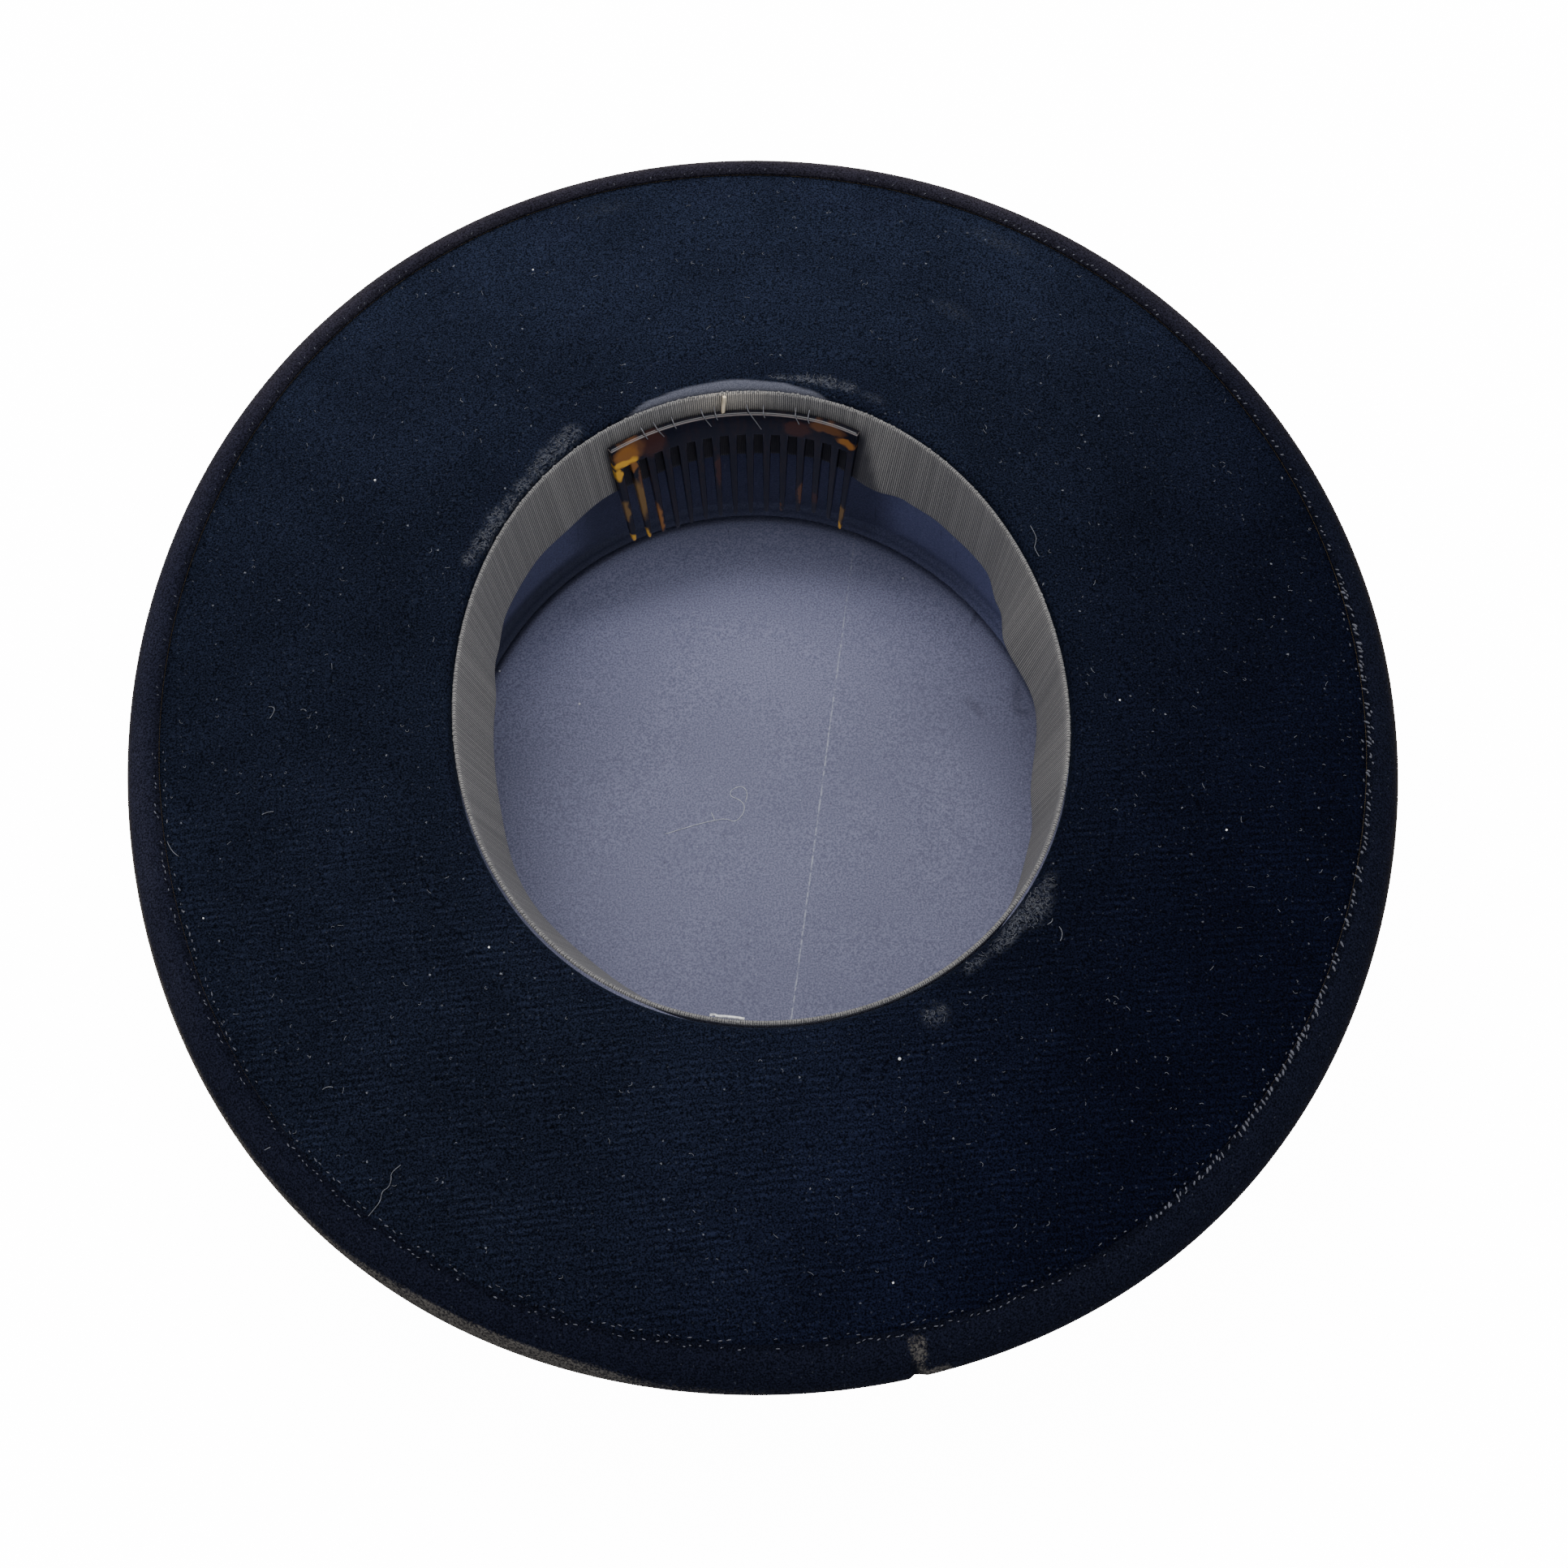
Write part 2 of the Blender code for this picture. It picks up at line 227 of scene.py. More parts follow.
def ribbon_lean(angle):
    """The ribbon's lean at this angle, eased from one row of its table to the next."""
    degrees = (math.degrees(angle) + 180) % 360 - 180
    first = RIBBON_LEAN[-1][0] - 360
    rows = [(first, RIBBON_LEAN[-1][1]), *RIBBON_LEAN, (RIBBON_LEAN[0][0] + 360, RIBBON_LEAN[0][1])]
    for (start, lean), (end, next_lean) in zip(rows, rows[1:]):
        if start <= degrees <= end:
            ease = (1 - math.cos(math.pi * (degrees - start) / (end - start))) / 2
            return lean + (next_lean - lean) * ease
    raise ValueError(f"no row of the ribbon's table holds {degrees} degrees")


def ribbon_point(angle, along, inward):
    """A point this far along the ribbon from its sewn edge, and this far in from its middle."""
    lean = math.asin(ribbon_lean(angle))
    out = -GAP - RIBBON_CLOTH / 2 - along * math.sin(lean) - inward * math.cos(lean)
    down = RIBBON_TOP_DROP + along * math.cos(lean) - inward * math.sin(lean)
    return oval_point(angle, out, OPENING_HEIGHT - down)


def on_brim(degrees, outward, lift):
    """A point above the brim's velvet, in degrees round and metres out from the opening."""
    return brim_point(math.radians(degrees), outward, OPENING_HEIGHT + lift)


# Making meshes

def arc(centre, radius, start, end, steps):
    """Points on an arc in a wall's section, its angle measured outward from straight up."""
    turns = [start + (end - start) * step / steps for step in range(steps + 1)]
    return [(centre[0] + radius * math.sin(turn), centre[1] + radius * math.cos(turn)) for turn in turns]


def wrapped(line, steps, place, closed=False, **marks):
    """A sheet led round the hat along a line of (outward, height) points, each put by place.

    Its UV map holds the share of the way round, and the distance along the line in metres. Each
    mark is a point attribute, worked out from the angle, the distance out and the height.
    """
    line = [*line, line[0]] if closed else line
    rows = len(line) - 1
    runs = [0]
    for start, end in zip(line, line[1:]):
        runs.append(runs[-1] + math.dist(start, end))
    mesh = bmesh.new()
    cloth = mesh.loops.layers.uv.new("cloth")
    layers = {name: mesh.verts.layers.float.new(name) for name in marks}
    bmesh.ops.create_grid(mesh, x_segments=steps, y_segments=rows, size=0.5, calc_uvs=True)
    for face in mesh.faces:
        for loop in face.loops:
            share, row = loop[cloth].uv
            loop[cloth].uv = (share - 0.5, runs[round(row * rows)])
    for point in mesh.verts:
        angle = point.co.x * math.tau
        outward, height = line[round((point.co.y + 0.5) * rows)]
        for name, mark in marks.items():
            point[layers[name]] = mark(angle, outward, height)
        point.co = place(angle, outward, height)
    bmesh.ops.remove_doubles(mesh, verts=mesh.verts, dist=SAME_PLACE)
    return mesh


def bead(segments, rings):
    """A small round bead, one metre in radius, to be scattered in a smaller size."""
    mesh = bmesh.new()
    bmesh.ops.create_uvsphere(mesh, u_segments=segments, v_segments=rings, radius=1)
    data = bpy.data.meshes.new("bead")
    mesh.to_mesh(data)
    mesh.free()
    return data


def scattered(shape, places):
    """One mesh of many copies of a small shape, each put by its own matrix."""
    mesh = bmesh.new()
    for place in places:
        copy = shape.copy()
        copy.transform(place)
        mesh.from_mesh(copy)
        bpy.data.meshes.remove(copy)
    return mesh


def seat(place_at, angle, across, size, twist=0.0):
    """Where a bead sits: X the way round the hat, turned by twist, at place_at(angle, across)."""
    place = place_at(angle, across)
    ahead = place_at(angle + 0.01, across)
    turn = (ahead - place).to_track_quat("X", "Z").to_matrix().to_4x4()
    return Matrix.Translation(place) @ turn @ Matrix.Rotation(twist, 4, "Z") @ Matrix.Diagonal((*size, 1))


def add_piece(name, mesh, finish, cloth=None):
    """Makes the named object from a bmesh, with its material and, for a sheet, its thickness."""
    bmesh.ops.recalc_face_normals(mesh, faces=mesh.faces)
    data = bpy.data.meshes.new(name)
    mesh.to_mesh(data)
    mesh.free()
    data.materials.append(finish)
    data.shade_smooth()
    data.set_sharp_from_angle(angle=SMOOTH_ANGLE)
    piece = bpy.data.objects.new(name, data)
    bpy.context.collection.objects.link(piece)
    if cloth is not None:
        wall = piece.modifiers.new("Thickness", "SOLIDIFY")
        wall.thickness = cloth
        wall.offset = 0
        wall.use_even_offset = True
    return piece


def dress(piece, slot, *replaced):
    """Lets a piece ride on the hat and stand for the CAD nodes, which it hides. The slot is not used."""
    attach(piece, "root")
    if replaced:
        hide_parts(*replaced)
    return piece


def strands(name, paths, thickness, finish):
    """Fine threads or hairs along these lists of points, as one curve with a round section."""
    curve = bpy.data.curves.new(name, "CURVE")
    curve.dimensions = "3D"
    curve.bevel_depth = thickness / 2
    curve.bevel_resolution = 0
    curve.use_fill_caps = True
    curve.resolution_u = 3
    for path in paths:
        spline = curve.splines.new("NURBS")
        spline.points.add(len(path) - 1)
        for point, place in zip(spline.points, path):
            point.co = (*place, 1)
        spline.order_u = 3
        spline.use_endpoint_u = True
    curve.materials.append(finish)
    piece = bpy.data.objects.new(name, curve)
    bpy.context.collection.objects.link(piece)
    return piece


# Making materials

def new_finish(name, colour, roughness, sheen=0, sheen_colour=(1, 1, 1), sheen_roughness=0.5):
    finish = bpy.data.materials.new(name)
    finish.use_nodes = True
    shader = finish.node_tree.nodes["Principled BSDF"]
    shader.inputs["Base Color"].default_value = (*colour, 1)
    shader.inputs["Roughness"].default_value = roughness
    shader.inputs["Sheen Weight"].default_value = sheen
    shader.inputs["Sheen Tint"].default_value = (*sheen_colour, 1)
    shader.inputs["Sheen Roughness"].default_value = sheen_roughness
    return finish, shader


def node(finish, kind, inputs, **settings):
    """Adds a node. An input is a value, or the socket that feeds it."""
    made = finish.node_tree.nodes.new("ShaderNode" + kind)
    for name, value in settings.items():
        setattr(made, name, value)
    for name, value in inputs.items():
        if isinstance(value, bpy.types.NodeSocket):
            finish.node_tree.links.new(value, made.inputs[name])
        else:
            made.inputs[name].default_value = value
    return made


def link(finish, socket, shader, name):
    finish.node_tree.links.new(socket, shader.inputs[name])


def object_place(finish):
    return node(finish, "TexCoord", {}).outputs["Object"]


def maths(finish, operation, first, second=0.0):
    return node(finish, "Math", {0: first, 1: second}, operation=operation).outputs[0]


def grains(finish, place, size, detail=2.0):
    """Soft noise from 0 to 1 whose grains have this size."""
    return node(finish, "TexNoise", {"Vector": place, "Scale": 1 / size, "Detail": detail}).outputs["Fac"]


def between(finish, value, low, high, start=0.0, end=1.0):
    """Runs from start to end as the value goes from low to high, and stops there."""
    made = node(finish, "MapRange", {
        "Value": value, "From Min": low, "From Max": high, "To Min": start, "To Max": end,
    }, interpolation_type="SMOOTHSTEP")
    return made.outputs["Result"]


def mixed(finish, amount, first, second):
    """The first colour turned into the second by amount."""
    made = node(finish, "Mix", {0: amount}, data_type="RGBA")
    for index, colour in ((6, first), (7, second)):
        if isinstance(colour, bpy.types.NodeSocket):
            finish.node_tree.links.new(colour, made.inputs[index])
        else:
            made.inputs[index].default_value = (*colour, 1)
    return made.outputs[2]


def bumped(finish, shader, height, depth, strength=1.0):
    made = node(finish, "Bump", {"Height": height, "Distance": depth, "Strength": strength})
    link(finish, made.outputs["Normal"], shader, "Normal")


def scaled(finish, colour, *amounts):
    """A colour times these amounts."""
    for amount in amounts:
        colour = node(finish, "VectorMath", {0: colour, "Scale": amount}, operation="SCALE").outputs[0]
    return colour


def bent(finish, place, size, amount):
    """The place, pushed about by soft noise of this size and by up to this amount."""
    drift = node(finish, "TexNoise", {"Vector": place, "Scale": 1 / size, "Detail": 1.0}).outputs["Color"]
    drift = node(finish, "VectorMath", {0: drift, 1: (0.5, 0.5, 0.5)}, operation="SUBTRACT").outputs[0]
    push = scaled(finish, drift, 2 * amount)
    return node(finish, "VectorMath", {0: place, 1: push}, operation="ADD").outputs[0]


def specks(finish, place, spacing, size, share):
    """A mask of small round specks: their spacing, their radius, and the share of them that show."""
    cells = node(finish, "TexVoronoi", {
        "Vector": place, "Scale": 1 / spacing, "Randomness": 1.0}, voronoi_dimensions="2D")
    pick = node(finish, "SeparateColor", {"Color": cells.outputs["Color"]})
    shown = between(finish, pick.outputs[0], 1 - share, 1 - share + 0.02)
    inside = between(finish, cells.outputs["Distance"], size / spacing, size / spacing * 0.3)
    strength = between(finish, pick.outputs[1], 0, 1, 0.25, 1.0)
    return maths(finish, "MULTIPLY", maths(finish, "MULTIPLY", shown, inside), strength)


PILE_GRAIN = 0.00048
PILE_ROW = 0.0020
PILE_CLOUD = 0.025
PILE_BEND = 0.0004

# Blue-black pile and its tone: lighter at the back with painted sheen, darkest at the front right
# with painted shade, and lighter in a patch at the front
PILE = (0.0042, 0.0056, 0.0112)
PILE_SHADED_FRONT_RIGHT = (0.0014, 0.0019, 0.0060)
PILE_SHEEN = (0.20, 0.25, 0.40)
PILE_SHEEN_WEIGHT = 0.22
PILE_FLECK = (0.036, 0.040, 0.054)
PILE_MOTE = (0.13, 0.135, 0.15)
PILE_CRUSHED = (0.058, 0.062, 0.076)
SATIN_DARK = (0.055, 0.058, 0.078)
SATIN_LIGHT = (0.105, 0.108, 0.135)
# Where the painted sheen at the back and the painted shade at the front right start and are full
BACK_FROM = 0.03
BACK_TO = 0.17
BACK_SHEEN_GAIN = 0.75
FRONT_RIGHT = (0.80, -0.60, 0)
FRONT_RIGHT_FROM = -0.01
FRONT_RIGHT_TO = 0.16
PATCH_PLACE = (0.005, -0.135, 0.08)
PATCH_HALF = 0.075
PATCH_GAIN = 0.45


def pile_colour(finish, place, *amounts):
    """Pile colour: painted sheen at the back, painted shade at the front right, times these amounts."""
    # Painted sheen, lighter towards the back, and painted shade, darker towards the front right
    back = between(
        finish, node(finish, "SeparateXYZ", {"Vector": place}).outputs["Y"],
        BACK_FROM, BACK_TO, 1, 1 + BACK_SHEEN_GAIN)
    toward = node(finish, "VectorMath", {0: place, 1: FRONT_RIGHT}, operation="DOT_PRODUCT")
    right = between(finish, toward.outputs["Value"], FRONT_RIGHT_FROM, FRONT_RIGHT_TO)
    away = node(finish, "VectorMath", {0: place, 1: PATCH_PLACE}, operation="DISTANCE")
    patch = between(finish, away.outputs["Value"], PATCH_HALF, 0, 1, 1 + PATCH_GAIN)
    cloud = between(finish, grains(finish, place, PILE_CLOUD), 0.3, 0.7, 0.88, 1.12)
    base = mixed(finish, right, PILE, PILE_SHADED_FRONT_RIGHT)
    return scaled(finish, base, back, patch, cloud, *amounts)


def make_pile(name):
    """The velvet of the crown's outside: fine pile without lint."""
    finish, shader = new_finish(name, PILE, 0.9, PILE_SHEEN_WEIGHT, PILE_SHEEN, 0.4)
    shader.inputs["Specular IOR Level"].default_value = 0.02
    place = object_place(finish)
    pile = grains(finish, place, PILE_GRAIN)
    grain = between(finish, pile, 0.3, 0.7, 0.4, 1.7)
    link(finish, pile_colour(finish, place, grain), shader, "Base Color")
    bumped(finish, shader, pile, 0.00025, 0.6)
    return finish


def pile_rows(finish, place):
    """Faint wavy rows across the brim, from dark to light, strongest at the front."""
    rows = node(finish, "TexWave", {
        "Vector": place, "Scale": math.pi / (10 * PILE_ROW), "Distortion": 2.5, "Detail": 2.0,
        "Detail Scale": 1.2,
    }, bands_direction="Y").outputs["Fac"]
    front = node(finish, "SeparateXYZ", {"Vector": place}).outputs["Y"]
    strength = maths(
        finish, "MULTIPLY", between(finish, front, 0.02, -0.06, 0.1, 0.75),
        between(finish, grains(finish, place, 0.006), 0.35, 0.65))
    return maths(
        finish, "ADD", 1, maths(finish, "MULTIPLY", strength, maths(finish, "SUBTRACT", rows, 0.4)))


def make_velvet():
    """The brim's velvet: pile, rows, lint flecks, crushed places and the bare satin of its join."""
    finish, shader = new_finish("velvet", PILE, 0.9, PILE_SHEEN_WEIGHT, PILE_SHEEN, 0.4)
    shader.inputs["Specular IOR Level"].default_value = 0.02
    place = object_place(finish)
    pile = grains(finish, place, PILE_GRAIN)
    grain = between(finish, pile, 0.32, 0.68, 0.25, 1.9)
    base = pile_colour(finish, place, grain, pile_rows(finish, place))
    torn_place = bent(finish, place, 0.0004, PILE_BEND)
    base = mixed(finish, maths(finish, "MULTIPLY", specks(finish, torn_place, 0.0022, 0.00030, 0.40), 0.6),
                 base, PILE_FLECK)
    base = mixed(finish, specks(finish, torn_place, 0.0090, 0.00034, 0.22), base, PILE_MOTE)
    crushed = node(finish, "Attribute", {}, attribute_name="crushed").outputs["Fac"]
    fuzz = grains(finish, bent(finish, place, 0.0014, 0.0012), 0.00070, 4.0)
    torn = maths(finish, "MULTIPLY", between(finish, fuzz, 0.40, 0.68), between(finish, crushed, 0.0, 0.7))
    base = mixed(finish, torn, base, PILE_CRUSHED)
    bare = node(finish, "Attribute", {}, attribute_name="bare").outputs["Fac"]
    weave = between(finish, grains(finish, place, 0.00030, 3.0), 0.3, 0.7)
    base = mixed(finish, bare, base, mixed(finish, weave, SATIN_DARK, SATIN_LIGHT))
    link(finish, base, shader, "Base Color")
    bumped(finish, shader, pile, 0.00025, 0.6)
    return finish


BOUND = (0.0042, 0.0050, 0.0105)
BOUND_SHEEN = (0.55, 0.42, 0.24)
# Plum-grey painted sheen on the binding's outer rim at the back, and a bluer one at the left
BOUND_BACK_SHEEN = (0.0270, 0.0235, 0.0320)
BOUND_LEFT_SHEEN = (0.0125, 0.0130, 0.0230)
# Grey-brown tones of the wear, and of the painted sheen along the rim at the left
BOUND_WORN_AND_SHEEN_DARK = (0.016, 0.015, 0.016)
BOUND_WORN_AND_SHEEN_LIGHT = (0.085, 0.078, 0.070)
# Painted shade in the fold from the binding's notch
BOUND_FOLD_SHADE = (0.002, 0.002, 0.004)
# Painted shade along the binding's seam: full for this distance from its inner edge, gone at three times it
GROOVE_SHADE = 0.0008
# Where the painted sheen on the binding's rim starts and is full, along its section from the seam
RIM_FROM = 0.0020
RIM_TO = 0.0065


def make_bound_velvet():
    """The binding's velvet: painted plum sheen on its rim at the left and back, brown sheen at its rim,
    painted shade along its seam, and wear in places.
    """
    finish, shader = new_finish("bound_velvet", BOUND, 0.9, 0.20, BOUND_SHEEN, 0.22)
    shader.inputs["Specular IOR Level"].default_value = 0.02
    place = object_place(finish)
    pile = grains(finish, place, PILE_GRAIN)
    spot = node(finish, "SeparateXYZ", {"Vector": place})
    run = node(finish, "UVMap", {}, uv_map="cloth").outputs["UV"]
    run = node(finish, "SeparateXYZ", {"Vector": run}).outputs["Y"]
    # Painted sheen at the back and the left, growing out towards the binding's rim, with soft random tone
    drift = between(finish, grains(finish, place, 0.025), 0.3, 0.7, 0.7, 1.0)
    drift = maths(finish, "MULTIPLY", drift, between(finish, run, RIM_FROM, RIM_TO, 0.50, 1.1))
    back = between(finish, spot.outputs["Y"], 0.04, 0.18)
    left_sheen = between(finish, spot.outputs["X"], -0.06, -0.16)
    left_sheen = maths(finish, "MULTIPLY", left_sheen, between(finish, spot.outputs["Y"], -0.11, -0.01, 0.25, 1.0))
    base = mixed(finish, maths(finish, "MULTIPLY", left_sheen, drift), BOUND, BOUND_LEFT_SHEEN)
    base = mixed(finish, maths(finish, "MULTIPLY", back, drift), base, BOUND_BACK_SHEEN)
    # Grain, and the painted shade along the seam
    base = scaled(
        finish, base, between(finish, pile, 0.32, 0.68, 0.4, 1.7),
        between(finish, run, GROOVE_SHADE, 3 * GROOVE_SHADE, 0.65, 1.0))
    flecks = specks(finish, bent(finish, place, 0.0004, PILE_BEND), 0.0026, 0.00026, 0.40)
    base = mixed(finish, maths(finish, "MULTIPLY", flecks, 0.6), base, PILE_FLECK)
    # Wear, and painted sheen along the rim at the left, in grey-brown tones
    worn = node(finish, "Attribute", {}, attribute_name="worn").outputs["Fac"]
    fuzz = grains(finish, bent(finish, place, 0.0012, 0.0006), 0.00060, 4.0)
    rubbed_and_sheen = between(finish, maths(finish, "ADD", worn, maths(finish, "SUBTRACT", fuzz, 0.5)), 0.15, 0.75)
    rubbed_and_sheen = maths(finish, "MULTIPLY", rubbed_and_sheen, between(finish, worn, 0.0, 0.4))
    tone = between(finish, fuzz, 0.35, 0.65)
    base = mixed(finish, rubbed_and_sheen, base, mixed(finish, tone, BOUND_WORN_AND_SHEEN_DARK, BOUND_WORN_AND_SHEEN_LIGHT))
    # Painted shade in the fold from the notch
    fold = node(finish, "Attribute", {}, attribute_name="fold").outputs["Fac"]
    base = mixed(finish, fold, base, BOUND_FOLD_SHADE)
    link(finish, base, shader, "Base Color")
    bumped(finish, shader, pile, 0.00025, 0.6)
    return finish


# Painted shade in the valleys between the ribs, the ribs' own colour, and the lighter colour of some ribs
RIB_VALLEY_SHADE = (0.020, 0.020, 0.025)
RIB_RIDGE = (0.190, 0.182, 0.175)
RIB_BRIGHT = (0.330, 0.315, 0.300)
# Colour of the painted highlight on the ribs beside the pin
RIBBON_PAINTED_SHINE = (0.52, 0.47, 0.40)
# Painted shadow of the comb on the ribbon
COMB_SHADOW_ON_RIBBON = (0.0130, 0.0125, 0.0200)
# Where round the ribbon the painted highlight beside the pin is, and its half width
SHINE_AT = 0.25
SHINE_HALF = 0.035


def make_grosgrain():
    """Taupe-grey ribbon: painted shade between its ribs, each rib a little lighter or darker,
    a painted highlight at the back.
    """
    finish, shader = new_finish("grosgrain", RIB_RIDGE, 0.55, 0.15, (0.9, 0.9, 0.95), 0.4)
    shader.inputs["Specular IOR Level"].default_value = 0.25
    uv = node(finish, "UVMap", {}, uv_map="cloth").outputs["UV"]
    turn = node(finish, "SeparateXYZ", {"Vector": uv}).outputs["X"]
    rib = maths(finish, "ADD", maths(finish, "MULTIPLY", turn, RIBS), 0.5)
    ridge = maths(finish, "PINGPONG", rib, 0.5)
    each = node(finish, "TexWhiteNoise", {"W": maths(finish, "FLOOR", rib)}, noise_dimensions="1D")
    each = each.outputs["Value"]
    # Painted shade in the valleys between the ribs
    shade = between(finish, ridge, 0.02, 0.38)
    base = mixed(finish, shade, RIB_VALLEY_SHADE, RIB_RIDGE)
    lift = maths(finish, "MULTIPLY", each, shade)
    base = mixed(finish, maths(finish, "MULTIPLY", lift, 0.45), base, RIB_BRIGHT)
    # Painted highlight on the ribs beside the pin
    away = maths(finish, "ABSOLUTE", maths(finish, "SUBTRACT", turn, SHINE_AT))
    shine = maths(finish, "MULTIPLY", between(finish, away, SHINE_HALF, 0, 0, 0.7), shade)
    base = mixed(finish, shine, base, RIBBON_PAINTED_SHINE)
    fibre = grains(finish, object_place(finish), 0.0003, 2.0)
    base = scaled(finish, base, between(finish, fibre, 0.3, 0.7, 0.75, 1.15))
    # The comb's painted shadow on the ribbon
    shaded = node(finish, "Attribute", {}, attribute_name="shaded").outputs["Fac"]
    base = mixed(finish, shaded, base, COMB_SHADOW_ON_RIBBON)
    link(finish, base, shader, "Base Color")
    bumped(finish, shader, fibre, 0.00006, 0.5)
    return finish


LINE_FROM = Vector((0.0362, 0.0840, 0))
LINE_TO = Vector((0.0023, -0.0625, 0))
LINE_WIDTH = 0.00032


SLUB_DARK = (0.040, 0.040, 0.060)
SLUB_PALE = (0.36, 0.38, 0.46)
# Colour of the painted shade in the crease and folds, also used for the scuffs
CREASE_DARK = (0.016, 0.018, 0.032)
LINE_PALE = (0.42, 0.44, 0.50)

# Painted shade in small folds of the crown's lining, scuffs, and two wide bands of painted shade near
# its far wall: x, y, half the width, half the length, turn in degrees and strength
FOLD_SHADES_AND_SCUFFS = (
    (0.0707, 0.0608, 0.0012, 0.0090, -35, 0.35),
    (0.0797, 0.0326, 0.0030, 0.0100, -12, 0.30),
    (0.0670, 0.0295, 0.0016, 0.0060, 40, 0.25),
    (0.0797, 0.0270, 0.0016, 0.0050, 60, 0.30),
    (-0.0300, 0.0780, 0.0500, 0.0100, 4, 0.08),
    (0.0250, 0.0800, 0.0500, 0.0120, -8, 0.12),
)


def pale_line(finish, place):
    """The pale line that runs across the crown's lining from back to front."""
    along = LINE_TO - LINE_FROM
    turned = node(finish, "Mapping", {
        "Vector": bent(finish, place, 0.004, 0.00015), "Location": LINE_FROM,
        "Rotation": (0, 0, math.atan2(along.y, along.x)),
    }, vector_type="TEXTURE").outputs["Vector"]
    away = node(finish, "SeparateXYZ", {"Vector": turned}).outputs["Y"]
    near = between(finish, maths(finish, "ABSOLUTE", away), LINE_WIDTH, LINE_WIDTH * 0.3)
    broken = between(finish, grains(finish, place, 0.0016, 3.0), 0.40, 0.62, 0.05, 0.55)
    return maths(finish, "MULTIPLY", near, broken)


# The soft shadow on the far part of the crown's lining: where its edge is nearest, how fast that
# edge bends back, how soft it is, and how much light is left inside it
SHADOW_X = 0.003
SHADOW_Y = 0.077
SHADOW_BEND = 4.0
SHADOW_SOFT = 0.008
SHADOW_LIGHT = 0.92


def far_shade(finish, spot):
    """The share of light that is left on the crown's lining, less beyond a bent edge."""
    aside = maths(finish, "SUBTRACT", spot.outputs["X"], SHADOW_X)
    bend = maths(finish, "MULTIPLY", maths(finish, "MULTIPLY", aside, aside), SHADOW_BEND)
    beyond = maths(finish, "ADD", spot.outputs["Y"], bend)
    return between(finish, beyond, SHADOW_Y, SHADOW_Y + SHADOW_SOFT, 1, SHADOW_LIGHT)


def make_lining(name, dark, light, tip):
    """Grey-blue lining with grain, clouds and small slubs, and painted light and shade; the tip's has its
    line and scuffs.
    """
    finish, shader = new_finish(name, light, 0.75, 0.15, (0.6, 0.65, 1.0), 0.4)
    shader.inputs["Specular IOR Level"].default_value = 0.15
    place = object_place(finish)
    weave = grains(finish, place, 0.00050, 3.0)
    drift = between(finish, grains(finish, place, 0.035), 0.3, 0.7, 0.80, 1.0)
    tone = maths(finish, "MULTIPLY", between(finish, weave, 0.33, 0.67), drift)
    base = mixed(finish, tone, dark, light)
    spot = node(finish, "SeparateXYZ", {"Vector": place})
    if tip:
        # Painted light, brighter towards the back, then the painted soft shadow on its far part
        base = scaled(finish, base, between(finish, spot.outputs["Y"], 0.02, 0.080, 1, 1.62))
        base = scaled(finish, base, far_shade(finish, spot))
    else:
        # Painted light and shade: the side lining darker at the left and lighter at the right
        base = scaled(finish, base, between(finish, spot.outputs["X"], -0.09, 0.09, 0.74, 1.50))
    slubs = specks(finish, place, 0.0035, 0.00040, 0.35)
    base = mixed(finish, maths(finish, "MULTIPLY", slubs, 0.45), base, SLUB_DARK)
    slubs = specks(finish, place, 0.0060, 0.00034, 0.30)
    base = mixed(finish, maths(finish, "MULTIPLY", slubs, 0.45), base, SLUB_PALE)
    if tip:
        base = mixed(finish, pale_line(finish, place), base, LINE_PALE)
        soft = bent(finish, place, 0.010, 0.003)
        # Painted shade in small folds and near the far wall, and scuffs
        for x, y, half_width, half_length, turn, strength in FOLD_SHADES_AND_SCUFFS:
            here = node(finish, "Mapping", {
                "Vector": soft, "Location": (x, y, 0), "Rotation": (0, 0, math.radians(turn)),
                "Scale": (half_width, half_length, 1),
            }, vector_type="TEXTURE").outputs["Vector"]
            away = node(finish, "VectorMath", {0: here}, operation="LENGTH").outputs["Value"]
            base = mixed(finish, between(finish, away, 1.0, 0.1, 0, strength), base, CREASE_DARK)
    # Painted shade in the crease, and on the side lining the comb's painted shadow
    crease = node(finish, "Attribute", {}, attribute_name="crease").outputs["Fac"]
    base = mixed(finish, crease, base, CREASE_DARK)
    link(finish, base, shader, "Base Color")
    bumped(finish, shader, weave, 0.00012, 0.6)
    return finish


